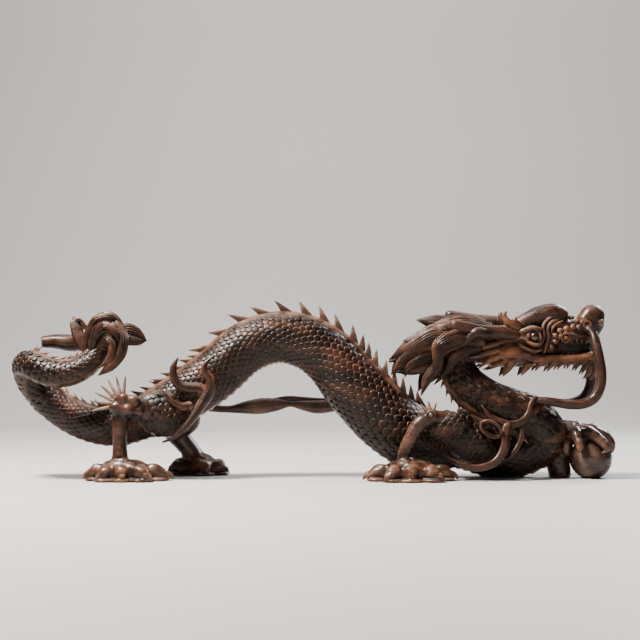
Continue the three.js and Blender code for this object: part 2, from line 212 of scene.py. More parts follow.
class Centreline:
    """A smooth line through stations [x, y, z, radius, roll in degrees].

    The back faces up at one station and is carried along from there without twisting.
    """

    FINE = 40  # samples between two stations
    BEND_SPAN = 0.12  # stations to each side over which a bend is measured

    def __init__(self, stations: Sequence[Station], upright: int = 0) -> None:
        """Sample the line finely and carry the direction of the back along it."""
        table = np.array([list(s) + [0.0] * (5 - len(s)) for s in stations], float)
        self.last = len(table) - 1
        self.fine = np.linspace(0, self.last, self.FINE * self.last + 1)
        self.path = self._centripetal(table[:, :3], self.fine)
        self.girth = self._uniform(table[:, 3:5], self.fine)
        tangent = np.gradient(self.path, axis=0)
        self.tangent = tangent / np.linalg.norm(tangent, axis=1)[:, None]
        steps = np.linalg.norm(np.diff(self.path, axis=0), axis=1)
        self.travel = np.concatenate([[0.0], np.cumsum(steps)])
        self.back = np.zeros_like(self.path)
        for stride in (-1, 1):
            carried = np.array([0.0, 0.0, 1.0])
            i = self.FINE * upright
            while 0 <= i < len(self.fine):
                carried = carried - carried.dot(self.tangent[i]) * self.tangent[i]
                carried /= np.linalg.norm(carried)
                self.back[i] = carried
                i += stride

    @staticmethod
    def _padded(values: np.ndarray) -> np.ndarray:
        """Return the values with one extrapolated row at each end."""
        return np.vstack([2 * values[0] - values[1], values, 2 * values[-1] - values[-2]])

    def _centripetal(self, points: np.ndarray, at: np.ndarray) -> np.ndarray:
        """Return a centripetal Catmull-Rom curve through the points, sampled at station numbers."""
        padded = self._padded(points)
        gap = np.sqrt(np.linalg.norm(np.diff(padded, axis=0), axis=1))
        i = np.minimum(at.astype(int), self.last - 1)
        t = (at - i)[:, None]
        p0, p1, p2, p3 = (padded[i + k] for k in range(4))
        d0, d1, d2 = (gap[i + k][:, None] for k in range(3))
        m1 = ((p1 - p0) / d0 - (p2 - p0) / (d0 + d1) + (p2 - p1) / d1) * d1
        m2 = ((p2 - p1) / d1 - (p3 - p1) / (d1 + d2) + (p3 - p2) / d2) * d1
        return self._hermite(p1, p2, m1, m2, t)

    def _uniform(self, values: np.ndarray, at: np.ndarray) -> np.ndarray:
        """Return a plain Catmull-Rom curve through the values, sampled at station numbers."""
        padded = self._padded(values)
        i = np.minimum(at.astype(int), self.last - 1)
        p0, p1, p2, p3 = (padded[i + k] for k in range(4))
        return self._hermite(p1, p2, (p2 - p0) / 2, (p3 - p1) / 2, (at - i)[:, None])

    @staticmethod
    def _hermite(
        p1: np.ndarray, p2: np.ndarray, m1: np.ndarray, m2: np.ndarray, t: np.ndarray
    ) -> np.ndarray:
        """Return the cubic with the given ends and end slopes at share t of the way."""
        c2 = -3 * p1 + 3 * p2 - 2 * m1 - m2
        c3 = 2 * p1 - 2 * p2 + m1 + m2
        return p1 + m1 * t + c2 * t**2 + c3 * t**3

    def travel_at(self, station: float) -> float:
        """Return the distance along the line to a station."""
        return float(np.interp(station, self.fine, self.travel))

    def sections(self, at: np.ndarray) -> Sections:
        """Return the sections at the given station numbers."""

        def look_up(values: np.ndarray) -> np.ndarray:
            return np.stack([np.interp(at, self.fine, column) for column in values.T], axis=1)

        def unit(values: np.ndarray) -> np.ndarray:
            return values / np.maximum(np.linalg.norm(values, axis=1), 1e-9)[:, None]

        tangent = unit(look_up(self.tangent))
        back = look_up(self.back)
        back = unit(back - np.einsum("ij,ij->i", back, tangent)[:, None] * tangent)
        radius, roll = look_up(self.girth).T
        turn = np.radians(roll)[:, None]
        across = np.cross(tangent, back)
        rolled = np.cos(turn) * back + np.sin(turn) * across
        before = np.clip(at - self.BEND_SPAN, 0, self.last)
        after = np.clip(at + self.BEND_SPAN, 0, self.last)

        def heading(station: np.ndarray) -> np.ndarray:
            return unit(np.stack([np.interp(station, self.fine, c) for c in self.tangent.T], 1))

        change = heading(after) - heading(before)
        run = np.interp(after, self.fine, self.travel) - np.interp(before, self.fine, self.travel)
        bend = run / np.maximum(np.linalg.norm(change, axis=1), 1e-6)
        return Sections(
            at,
            look_up(self.path),
            tangent,
            rolled,
            np.cross(tangent, rolled),
            radius,
            unit(change),
            bend,
            np.interp(at, self.fine, self.travel),
        )

    def spaced(self, spacing: float, start: float = 0.0, end: float | None = None) -> Sections:
        """Return sections a given distance apart between two stations."""
        low, high = self.travel_at(start), self.travel_at(self.last if end is None else end)
        count = max(int(round((high - low) / spacing)), 2)
        travel = np.linspace(low, high, count + 1)
        return self.sections(np.interp(travel, self.travel, self.fine))


Outline = Callable[[Sections, np.ndarray, np.ndarray], np.ndarray]


def lofted(sections: Sections, around: int, outline: Outline) -> Surface:
    """Loft a closed limb over sections.

    Args:
        sections: where the rings stand.
        around: points in a ring.
        outline: the reach of each point, from the sections, the angles and the point's section.

    Returns:
        The closed surface, with the looks "angle" (0 back to 1 belly) and "girth" (the radius).
    """
    rings = len(sections.at)
    angle = np.tile(np.linspace(0, 2 * np.pi, around, endpoint=False), rings)
    row = np.repeat(np.arange(rings), around)
    reach = outline(sections, angle, row)
    points = sections.ring_points(angle, reach, row)
    faces = tube_faces(rings, around)
    ends = [points[:around].mean(0), points[-around:].mean(0)]
    first, last = len(points), len(points) + 1
    base = (rings - 1) * around
    faces.extend((first, (k + 1) % around, k) for k in range(around))
    faces.extend((last, base + k, base + (k + 1) % around) for k in range(around))
    side = np.abs((angle + np.pi) % (2 * np.pi) - np.pi) / np.pi
    looks = {
        "angle": np.concatenate([side, [0.0, 0.0]]),
        "girth": np.concatenate([sections.radius[row], sections.radius[[0, -1]]]),
    }
    return Surface(np.vstack([points, *[e[None] for e in ends]]), faces, looks).facing_out()


# ---- Wood as one blended mass ----


class Clay:
    """Blends rounded forms into one mass on a grid of cells, then skins it."""

    FAR = 60.0  # distance given to empty cells
    ROPE_STEPS = 4  # straight pieces between two stations of a rope
    GNARL_FADE = 12.0  # height over which the ripples die away

    def __init__(self, low: Station, high: Station, cell: float) -> None:
        """Lay out an empty grid between two corners."""
        self.low, self.cell = np.array(low, float), cell
        count = np.ceil((np.array(high, float) - self.low) / cell).astype(int) + 1
        self.axes = [self.low[k] + cell * np.arange(count[k]) for k in range(3)]
        self.field = np.full(count, self.FAR, np.float32)

    def _window(self, low: np.ndarray, high: np.ndarray) -> tuple[tuple[slice, ...], list[np.ndarray]]:
        """Return the slices of the grid between two corners, and its coordinates there."""
        slices, coordinates = [], []
        for k in range(3):
            a = int(np.clip((low[k] - self.low[k]) / self.cell, 0, self.field.shape[k] - 1))
            b = int(np.clip((high[k] - self.low[k]) / self.cell + 2, 1, self.field.shape[k]))
            slices.append(slice(a, max(b, a + 1)))
            shape = [1, 1, 1]
            shape[k] = -1
            coordinates.append(self.axes[k][slices[k]].reshape(shape).astype(np.float32))
        return tuple(slices), coordinates

    def _add(self, window: tuple[slice, ...], distance: np.ndarray, blend: float, cut: Cut) -> None:
        """Blend a form into the mass, or carve it out."""
        old = cut.value * self.field[window]
        mix = np.clip(0.5 + 0.5 * (distance - old) / blend, 0, 1)
        self.field[window] = cut.value * (distance + (old - distance) * mix - blend * mix * (1 - mix))

    def ball(
        self, centre: Station, radii: Station, blend: float = 4.0, tip: float = 0.0, cut: Cut = Cut.ADD
    ) -> None:
        """Add an ellipsoid, tipped about Y.

        Args:
            centre: its middle.
            radii: its radii along X, Y and Z before tipping.
            blend: the width of the fillet around it.
            tip: degrees that its +X end goes down.
            cut: whether it is added or carved out.
        """
        reach = max(radii) + 3 * blend
        middle = np.array(centre, float)
        window, (x, y, z) = self._window(middle - reach, middle + reach)
        turn = math.radians(tip)
        dx, dy, dz = x - middle[0], y - middle[1], z - middle[2]
        u = dx * math.cos(turn) - dz * math.sin(turn)
        w = dx * math.sin(turn) + dz * math.cos(turn)
        k0 = np.sqrt((u / radii[0]) ** 2 + (dy / radii[1]) ** 2 + (w / radii[2]) ** 2)
        k1 = np.sqrt((u / radii[0] ** 2) ** 2 + (dy / radii[1] ** 2) ** 2 + (w / radii[2] ** 2) ** 2)
        self._add(window, k0 * (k0 - 1) / np.maximum(k1, 1e-6), blend, cut)

    def rope(self, stations: Sequence[Station], blend: float = 3.0, cut: Cut = Cut.ADD) -> None:
        """Add a rounded limb through stations [x, y, z, radius].

        Args:
            stations: its course and radii.
            blend: the width of the fillet around it.
            cut: whether it is added or carved out.
        """
        line = Centreline(stations)
        at = np.linspace(0, line.last, self.ROPE_STEPS * line.last + 1)
        s = line.sections(at)
        reach = s.radius.max() + 3 * blend
        window, (x, y, z) = self._window(s.centre.min(0) - reach, s.centre.max(0) + reach)
        shape = self.field[window].shape
        distance = np.full(shape, self.FAR, np.float32)
        origin = [window[k].start for k in range(3)]
        for i in range(len(at) - 1):
            a, b = s.centre[i], s.centre[i + 1]
            span = b - a
            length = max(float(span @ span), 1e-9)
            near = max(s.radius[i], s.radius[i + 1]) + 3 * blend
            part, (px, py, pz) = self._window(np.minimum(a, b) - near, np.maximum(a, b) + near)
            local = tuple(slice(p.start - o, p.stop - o) for p, o in zip(part, origin))
            share = ((px - a[0]) * span[0] + (py - a[1]) * span[1] + (pz - a[2]) * span[2]) / length
            share = np.clip(share, 0, 1)
            gap = np.sqrt(
                (px - a[0] - share * span[0]) ** 2
                + (py - a[1] - share * span[1]) ** 2
                + (pz - a[2] - share * span[2]) ** 2
            )
            gap = gap - (s.radius[i] + share * (s.radius[i + 1] - s.radius[i]))
            distance[local] = np.minimum(distance[local], gap)
        self._add(window, distance, blend, cut)

    def ropes(self, lines: Sequence[Sequence[Station]], blend: float, cut: Cut = Cut.ADD) -> None:
        """Add each line, given for the far side, as a rope on both sides."""
        for line in lines:
            for stations in both_sides(line):
                self.rope(stations, blend, cut)

    def gnarl(self, amplitude: float, wavelength: float, top: float) -> None:
        """Ripple the mass below a height, as a gouge leaves it."""
        x, y, z = np.meshgrid(*self.axes, indexing="ij", sparse=True)
        wave = 2 * np.pi / wavelength
        ripple = np.sin(wave * x + 1.3 * np.sin(wave * z)) * np.sin(wave * y * 1.1 + 0.7)
        ripple = ripple * np.cos(wave * z * 1.2)
        fade = np.clip((top - z) / self.GNARL_FADE, 0, 1)
        self.field += (amplitude * ripple * fade).astype(np.float32)

    def floor(self) -> None:
        """Cut the mass flat at the soles."""
        z = self.axes[2].reshape(1, 1, -1)
        self.field = np.maximum(self.field, (SOLE - z).astype(np.float32))

    def skin(self) -> Surface:
        """Return the surface of the mass."""
        grid = openvdb.FloatGrid(self.FAR)
        grid.copyFromArray(np.ascontiguousarray(self.field))
        points, quads = grid.convertToQuads(isovalue=0.0)
        placed = np.asarray(points, float) * self.cell + self.low
        return Surface(placed, [tuple(q) for q in np.asarray(quads).tolist()]).facing_out()


def relief(surface: Surface, passes: int, depth: float) -> np.ndarray:
    """Measure how far each point stands proud of the surface around it.

    Args:
        surface: the surface.
        passes: rounds of averaging, which set how wide "around it" is.
        depth: the height in millimetres that counts as full relief.

    Returns:
        0 in the deepest hollows, 0.5 on even ground and 1 on sharp crests.
    """
    edges = []
    normal = np.zeros_like(surface.points)
    for size, index in by_size(surface.faces).items():
        for k in range(size):
            edges.append(np.stack([index[:, k], index[:, (k + 1) % size]], 1))
        corner = surface.points[index]
        flat = np.cross(corner[:, 1] - corner[:, 0], corner[:, size - 1] - corner[:, 0])
        for k in range(size):
            for axis in range(3):
                normal[:, axis] += np.bincount(index[:, k], flat[:, axis], len(normal))
    normal /= np.maximum(np.linalg.norm(normal, axis=1), 1e-9)[:, None]
    pair = np.concatenate(edges)
    pair = np.concatenate([pair, pair[:, ::-1]])
    degree = np.maximum(np.bincount(pair[:, 0], minlength=len(normal)), 1)
    even = surface.points.copy()
    for _ in range(passes):
        total = [np.bincount(pair[:, 0], even[pair[:, 1], axis], len(even)) for axis in range(3)]
        even = np.stack(total, 1) / degree[:, None]
    proud = np.einsum("ij,ij->i", surface.points - even, normal)
    return np.clip(0.5 + 0.5 * proud / depth, 0, 1)


# ---- Finishes ----

@dataclass(frozen=True)
class Finish:
    """A stain and wax: the painted shade of hollows, the colour of even ground, the colour of crests,
    which stands for their rubbing and for a painted highlight, and the polish.
    """

    name: str
    painted_hollow_shade: Colour
    base: Colour
    worn_and_painted_light: Colour
    roughness: float
    coat: float
    wear_and_painted_light: float = 1.0


BODY_FINISH = Finish(
    "rosewood_body",
    (0.0012, 0.0006, 0.0004),
    (0.0085, 0.0033, 0.0019),
    (0.075, 0.037, 0.023),
    0.33, 0.05,
)
BLADE_FINISH = Finish(
    "rosewood_blades",
    (0.005, 0.003, 0.002),
    (0.062, 0.030, 0.019),
    (0.22, 0.135, 0.095),
    0.42, 0.05,
)
HEAD_FINISH = Finish(
    "rosewood_head",
    (0.0015, 0.0008, 0.0005),
    (0.021, 0.0082, 0.0048),
    (0.135, 0.067, 0.042),
    0.30, 0.1,
)
HAIR_FINISH = Finish(
    "rosewood_hair",
    (0.0008, 0.0005, 0.0003),
    (0.0060, 0.0024, 0.0015),
    (0.095, 0.043, 0.026),
    0.32, 0.05, 0.6,
)
LIMB_FINISH = Finish(
    "rosewood_limbs",
    (0.0015, 0.0008, 0.0005),
    (0.021, 0.0085, 0.0050),
    (0.15, 0.076, 0.048),
    0.26, 0.2, 0.75,
)
PEARL_FINISH = Finish(
    "rosewood_pearl",
    (0.005, 0.003, 0.002),
    (0.016, 0.0085, 0.0065),
    (0.06, 0.034, 0.025),
    0.24, 0.3,
)
EYE_FINISH = Finish(
    "rosewood_eye",
    (0.002, 0.001, 0.001),
    (0.008, 0.005, 0.0035),
    (0.03, 0.018, 0.013),
    0.08, 1.0,
)
RUST = (0.150, 0.058, 0.026)
DARK_RUST = (0.055, 0.019, 0.009)
# Pale colour of upward faces: settled dust, and painted light from above.
DUST_AND_TOP_LIGHT = (0.22, 0.145, 0.11)
COAT_ROUGHNESS = 0.2
SPECULAR = 0.2
GRAIN = {"Strength": 0.35, "Distance": 0.0004}  # bump of the grain, metres


class Tree:
    """A node tree being laid out: adds nodes, sets their values and links them."""

    def __init__(self, tree: bpy.types.NodeTree) -> None:
        """Keep the tree."""
        self.tree = tree

    def add(self, kind: str, values: dict | None = None, **settings: object) -> bpy.types.Node:
        """Add a node.

        Args:
            kind: the node's type.
            values: input socket name or number to a value, or to a socket to link from.
            settings: properties of the node.

        Returns:
            The node.
        """
        node = self.tree.nodes.new(kind)
        for key, value in settings.items():
            setattr(node, key, value)
        for key, value in (values or {}).items():
            self.set(node.inputs[key], value)
        return node

    def set(self, socket: bpy.types.NodeSocket, value: object) -> None:
        """Link a socket from another, or give it a value."""
        if isinstance(value, bpy.types.NodeSocket):
            self.tree.links.new(value, socket)
        else:
            socket.default_value = value

    def maths(self, operation: str, *values: object, clamp: bool = False) -> bpy.types.NodeSocket:
        """Return the result of a sum on numbers or sockets."""
        node = self.add("ShaderNodeMath", dict(enumerate(values)), operation=operation, use_clamp=clamp)
        return node.outputs[0]

    def mix(self, share: object, a: object, b: object) -> bpy.types.NodeSocket:
        """Return the mix of two colours."""
        node = self.add("ShaderNodeMix", data_type="RGBA")
        self.set(node.inputs["Factor"], share)
        self.set(node.inputs["A"], a)
        self.set(node.inputs["B"], b)
        return node.outputs["Result"]

    def ramp(
        self, value: object, low: float, high: float, to: tuple[float, float] = (0, 1)
    ) -> bpy.types.NodeSocket:
        """Return a value rescaled smoothly from low..high to the range `to`."""
        node = self.add("ShaderNodeMapRange", interpolation_type="SMOOTHSTEP")
        keys = ("Value", "From Min", "From Max", "To Min", "To Max")
        for key, number in zip(keys, (value, low, high, *to)):
            self.set(node.inputs[key], number)
        return node.outputs["Result"]

    def look(self, name: str) -> bpy.types.NodeSocket:
        """Return the value of a look stored with the mesh."""
        return self.add("ShaderNodeAttribute", attribute_name=name).outputs["Fac"]


def _rgba(colour: Colour) -> tuple[float, float, float, float]:
    """Return the colour with full alpha."""
    return (*colour, 1.0)


def rosewood_group() -> bpy.types.NodeTree:
    """Return the shader group that turns stain colours and carved relief into a grained surface, with
    painted shade in the hollows and a painted highlight on the crests.
    """
    group = bpy.data.node_groups.new("rosewood_grain", "ShaderNodeTree")
    for way, kind, names in (
        ("INPUT", "Color", ("Deep", "Base", "Worn")),
        ("INPUT", "Float", ("Polish", "Wear")),
        ("OUTPUT", "Color", ("Color",)),
        ("OUTPUT", "Float", ("Roughness", "Height")),
    ):
        for name in names:
            group.interface.new_socket(name, in_out=way, socket_type=f"NodeSocket{kind}")
    tree = Tree(group)
    given = tree.add("NodeGroupInput").outputs
    place = tree.add("ShaderNodeTexCoord").outputs["Object"]

    def noise(stretch: Station, detail: float, roughness: float = 0.55) -> bpy.types.NodeSocket:
        at = tree.add("ShaderNodeMapping", {"Vector": place, "Scale": stretch}).outputs["Vector"]
        values = {"Vector": at, "Scale": 1.0, "Detail": detail, "Roughness": roughness}
        return tree.add("ShaderNodeTexNoise", values).outputs["Fac"]

    streak = noise((38.0, 520.0, 520.0), 5.0, 0.62)
    patch = noise((20.0, 46.0, 46.0), 3.0)
    blotch = noise((30.0, 44.0, 44.0), 2.0)
    pore = noise((160.0, 2100.0, 2100.0), 2.0)
    smudge = noise((70.0, 70.0, 70.0), 4.0)
    carved, tone = tree.look("relief"), tree.look("tone")
    normal = tree.add("ShaderNodeNewGeometry").outputs["Normal"]
    up = tree.add("ShaderNodeSeparateXYZ", {0: normal}).outputs["Z"]

    # Painted shade: below even ground the relief mixes the base towards the painted shade colour of
    # hollows.
    ground = tree.mix(tree.ramp(carved, 0.10, 0.55), given["Deep"], given["Base"])
    rust = tree.mix(tree.ramp(patch, 0.46, 0.68, (0.0, 0.7)), ground, _rgba(DARK_RUST))
    # Above even ground the relief mixes towards the crest colour, which stands for the rubbing of the wax
    # and for a painted highlight.
    rubbed_and_painted_light = tree.maths("MULTIPLY", tree.ramp(carved, 0.55, 0.98), given["Wear"], clamp=True)
    rubbed_and_painted_light = tree.maths("MULTIPLY", rubbed_and_painted_light, tree.ramp(smudge, 0.30, 0.62, (0.45, 1.0)))
    worn_and_painted_light = tree.mix(rubbed_and_painted_light, rust, given["Worn"])
    stain = tree.maths("MULTIPLY", tree.look("rust"), tree.ramp(smudge, 0.25, 0.6, (0.5, 1.0)))
    # The rust fades out in the hollows, which keeps their painted shade dark.
    stain = tree.maths("MULTIPLY", stain, tree.ramp(carved, 0.15, 0.6), clamp=True)
    rusty = tree.mix(stain, worn_and_painted_light, _rgba(RUST))
    # Dust and painted top light: surfaces facing up are mixed towards a pale colour, partly settled dust,
    # partly painted light from above.
    dust_and_top_light = tree.maths("MULTIPLY", tree.ramp(up, 0.35, 1.0, (0.0, 0.20)), tree.ramp(smudge, 0.35, 0.7))
    dusty_and_top_lit = tree.mix(dust_and_top_light, rusty, _rgba(DUST_AND_TOP_LIGHT))
    shade = tree.ramp(streak, 0.28, 0.72, (0.62, 1.42))
    shade = tree.maths("MULTIPLY", shade, tree.ramp(tone, 0.0, 1.0, (0.8, 1.2)))
    shade = tree.maths("MULTIPLY", shade, tree.ramp(blotch, 0.36, 0.62, (0.50, 1.22)))
    lit = tree.add("ShaderNodeVectorMath", {0: dusty_and_top_lit}, operation="SCALE")
    tree.set(lit.inputs["Scale"], shade)
    rough = tree.maths("ADD", given["Polish"], tree.ramp(smudge, 0.3, 0.75, (-0.06, 0.16)))
    rough = tree.maths("ADD", rough, tree.ramp(carved, 0.05, 0.5, (0.28, 0.0)), clamp=True)
    fibre = tree.maths("MULTIPLY", streak, 0.6)
    height = tree.maths("ADD", fibre, tree.ramp(pore, 0.36, 0.44, (0.0, 0.5)))
    tree.add("NodeGroupOutput", {"Color": lit.outputs["Vector"], "Roughness": rough, "Height": height})
    return group


class Finishes:
    """Makes each finish's material once."""

    def __init__(self) -> None:
        """Make the shared shader group."""
        self.group = rosewood_group()
        self.made: dict[str, bpy.types.Material] = {}

    def material(self, finish: Finish) -> bpy.types.Material:
        """Return the material of a finish."""
        if finish.name in self.made:
            return self.made[finish.name]
        material = bpy.data.materials.new(finish.name)
        material.use_nodes = True
        material.node_tree.nodes.clear()
        tree = Tree(material.node_tree)
        grain = tree.add("ShaderNodeGroup")
        grain.node_tree = self.group
        for key, value in (
            ("Deep", _rgba(finish.painted_hollow_shade)),
            ("Base", _rgba(finish.base)),
            ("Worn", _rgba(finish.worn_and_painted_light)),
            ("Polish", finish.roughness),
            ("Wear", finish.wear_and_painted_light),
        ):
            grain.inputs[key].default_value = value
        bump = tree.add("ShaderNodeBump", {"Height": grain.outputs["Height"], **GRAIN})
        shader = tree.add(
            "ShaderNodeBsdfPrincipled",
            {
                "Base Color": grain.outputs["Color"],
                "Roughness": grain.outputs["Roughness"],
                "Normal": bump.outputs["Normal"],
                "Coat Weight": finish.coat,
                "Coat Roughness": COAT_ROUGHNESS,
                "Specular IOR Level": SPECULAR,
            },
        )
        tree.add("ShaderNodeOutputMaterial", {"Surface": shader.outputs["BSDF"]})
        material.diffuse_color = _rgba(finish.base)
        self.made[finish.name] = material
        return material


# ---- Pieces of the scene ----


def object_of(
    name: str, surface: Surface, material: bpy.types.Material | None, placed: bool = True
) -> bpy.types.Object:
    """Turn a surface into an object in metres, smooth shaded.

    Args:
        name: the object's name.
        surface: the surface, in millimetres.
        material: its material.
        placed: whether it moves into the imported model's frame.

    Returns:
        The object, linked to the scene.
    """
    mesh = bpy.data.meshes.new(name)
    points = (surface.points + (SHIFT if placed else 0)) * MM
    mesh.from_pydata(points.tolist(), [], surface.faces)
    mesh.polygons.foreach_set("use_smooth", np.ones(len(mesh.polygons), bool))
    for look, values in surface.looks.items():
        attribute = mesh.attributes.new(look, "FLOAT", "POINT")
        attribute.data.foreach_set("value", np.asarray(values, np.float32))
    if material is not None:
        mesh.materials.append(material)
    made = bpy.data.objects.new(name, mesh)
    bpy.context.scene.collection.objects.link(made)
    return made


def join_dragon(piece: bpy.types.Object) -> bpy.types.Object:
    """Make a piece part of the carved dragon."""
    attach(piece, BODY)
    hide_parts(NODE)
    LOG.info("%s: %d faces", piece.name, len(piece.data.polygons))
    return piece


@dataclass
class Carver:
    """Finishes surfaces as pieces of the dragon."""

    finishes: Finishes

    def carve(
        self, name: str, surface: Surface, finish: Finish, passes: int = 8, depth: float = 0.9
    ) -> None:
        """Add a surface to the dragon.

        Args:
            name: the piece's name.
            surface: the surface, in millimetres.
            finish: its finish.
            passes: how wide the relief is measured.
            depth: the height that counts as full relief.
        """
        surface.points[:, 2] = np.maximum(surface.points[:, 2], TABLE)
        none = np.zeros(len(surface.points))
        looks = surface.looks
        height = np.clip(relief(surface, passes, depth) + looks.get("lift", none), 0, 1)
        surface.looks = {"relief": height, "tone": none + 0.5, "rust": looks.get("rust", none)}
        join_dragon(object_of(name, surface, self.finishes.material(finish)))


@dataclass
class Places:
    """Where copies of a small shape stand."""

    points: list[np.ndarray] = field(default_factory=list)
    facing: list[np.ndarray] = field(default_factory=list)
    heading: list[np.ndarray] = field(default_factory=list)
    size: list[np.ndarray] = field(default_factory=list)

    def add(self, point: np.ndarray, facing: np.ndarray, heading: np.ndarray, size: Station) -> None:
        """Add a place."""
        self.points.append(point)
        self.facing.append(facing)
        self.heading.append(heading)
        self.size.append(np.array(size, float))


class Planter:
    """Plants copies of a small shape with a Geometry Nodes tree."""

    SOCKETS = (("Shape", "Object"), ("Material", "Material"), ("Wobble", "Float"), ("Seed", "Int"))
    LOOKS = ("facing", "heading", "size")

    def __init__(self) -> None:
        """Build the tree."""
        group = bpy.data.node_groups.new("plant_shapes", "GeometryNodeTree")
        sockets = group.interface
        sockets.new_socket("Geometry", in_out="OUTPUT", socket_type="NodeSocketGeometry")
        sockets.new_socket("Geometry", in_out="INPUT", socket_type="NodeSocketGeometry")
        self.keys = {
            name: sockets.new_socket(name, in_out="INPUT", socket_type=f"NodeSocket{kind}").identifier
            for name, kind in self.SOCKETS
        }
        self.group = group
        tree = Tree(group)
        given = tree.add("NodeGroupInput").outputs
        shape = tree.add("GeometryNodeObjectInfo", {"Object": given["Shape"]}, transform_space="ORIGINAL")

        def named(name: str) -> bpy.types.NodeSocket:
            node = tree.add("GeometryNodeInputNamedAttribute", {"Name": name}, data_type="FLOAT_VECTOR")
            return node.outputs["Attribute"]

        stood = tree.add("FunctionNodeAlignRotationToVector", {"Vector": named("facing")}, axis="Z")
        turned = tree.add(
            "FunctionNodeAlignRotationToVector",
            {"Rotation": stood.outputs[0], "Vector": named("heading")},
            axis="X",
            pivot_axis="Z",
        )
        opposite = tree.maths("MULTIPLY", given["Wobble"], -1.0)
        random = tree.add("FunctionNodeRandomValue", data_type="FLOAT_VECTOR")
        self._feed(tree, random, "Min", opposite)
        self._feed(tree, random, "Max", given["Wobble"])
        self._feed(tree, random, "Seed", given["Seed"])
        spin = tree.add("FunctionNodeEulerToRotation", {0: random.outputs[0]})
        rocked = tree.add(
            "FunctionNodeRotateRotation",
            {"Rotation": turned.outputs[0], "Rotate By": spin.outputs[0]},
            rotation_space="LOCAL",
        )
        planted = tree.add(
            "GeometryNodeInstanceOnPoints",
            {
                "Points": given["Geometry"],
                "Instance": shape.outputs["Geometry"],
                "Rotation": rocked.outputs[0],
                "Scale": named("size"),
            },
        )
        tone = tree.add("FunctionNodeRandomValue", data_type="FLOAT")
        self._feed(tree, tone, "Seed", given["Seed"])
        stored = tree.add(
            "GeometryNodeStoreNamedAttribute",
            {"Geometry": planted.outputs[0], "Name": "tone"},
            data_type="FLOAT",
            domain="INSTANCE",
        )
        level = next(o for o in tone.outputs if o.enabled)
        target = next(i for i in stored.inputs if i.name == "Value" and i.enabled)
        group.links.new(level, target)
        real = tree.add("GeometryNodeRealizeInstances", {"Geometry": stored.outputs[0]})
        wood = {"Geometry": real.outputs[0], "Material": given["Material"]}
        done = tree.add("GeometryNodeSetMaterial", wood)
        tree.add("NodeGroupOutput", {"Geometry": done.outputs[0]})

    @staticmethod
    def _feed(tree: Tree, node: bpy.types.Node, name: str, value: bpy.types.NodeSocket) -> None:
        """Link the enabled input of that name."""
        tree.set(next(i for i in node.inputs if i.name == name and i.enabled), value)

    def plant(
        self,
        name: str,
        shape: Surface,
        places: Places,
        material: bpy.types.Material,
        wobble: float,
        seed: int,
    ) -> bpy.types.Object:
        """Plant a shape at every place.

        Args:
            name: the piece's name.
            shape: the shape, in millimetres at size 1, Z outwards and X along the heading.
            places: where the copies stand.
            material: their material.
            wobble: the largest turn off true, in degrees.
            seed: seed of the turns and the tones.

        Returns:
            One plain mesh object with all copies.
        """
        prototype = object_of(name + "_shape", shape, None, placed=False)
        spots = bpy.data.meshes.new(name + "_spots")
        points = (np.array(places.points) + SHIFT) * MM
        spots.from_pydata(points.tolist(), [], [])
        for look in self.LOOKS:
            attribute = spots.attributes.new(look, "FLOAT_VECTOR", "POINT")
            attribute.data.foreach_set("vector", np.array(getattr(places, look), np.float32).ravel())
        carrier = bpy.data.objects.new(name + "_carrier", spots)
        bpy.context.scene.collection.objects.link(carrier)
        modifier = carrier.modifiers.new("plant", "NODES")
        modifier.node_group = self.group
        for (key, _), value in zip(self.SOCKETS, (prototype, material, math.radians(wobble), seed)):
            modifier[self.keys[key]] = value
        bpy.context.view_layer.update()
        graph = bpy.context.evaluated_depsgraph_get()
        mesh = bpy.data.meshes.new_from_object(carrier.evaluated_get(graph))
        carrier.modifiers.remove(modifier)
        for spare in (carrier, prototype):
            bpy.data.objects.remove(spare)
        for look in self.LOOKS:
            if look in mesh.attributes:
                mesh.attributes.remove(mesh.attributes[look])
        mesh.name = name
        mesh.polygons.foreach_set("use_smooth", np.ones(len(mesh.polygons), bool))
        made = bpy.data.objects.new(name, mesh)
        bpy.context.scene.collection.objects.link(made)
        return made


def ring_shape(profile: Sequence[tuple[float, float, float]], around: int, outline: Callable) -> Surface:
    """Make a closed low shape from concentric rings.

    Args:
        profile: from the middle outwards, each ring's share of the outline, height and relief.
        around: points in a ring.
        outline: gives x and y on the outline for an array of angles, and a rise for x.

    Returns:
        The closed surface with its "relief".
    """
    angle = np.linspace(0, 2 * np.pi, around, endpoint=False)
    x, y, rise = outline(angle)
    middle, level = x.mean(), rise.mean()
    points, looks = [np.array([[middle, 0.0, profile[0][1] + level]])], [profile[0][2]]
    for share, height, look in profile[1:]:
        lifted = height + level + (rise - level) * share
        points.append(np.stack([middle + (x - middle) * share, y * share, lifted], 1))
        looks.extend([look] * around)
    faces: Faces = [(0, 1 + k, 1 + (k + 1) % around) for k in range(around)]
    faces.extend(turned(tube_faces(len(profile) - 1, around, 1)))
    base = 1 + (len(profile) - 2) * around
    faces.append(tuple(base + k for k in reversed(range(around))))
    return Surface(np.concatenate(points), faces, {"relief": np.array(looks)}).facing_out()


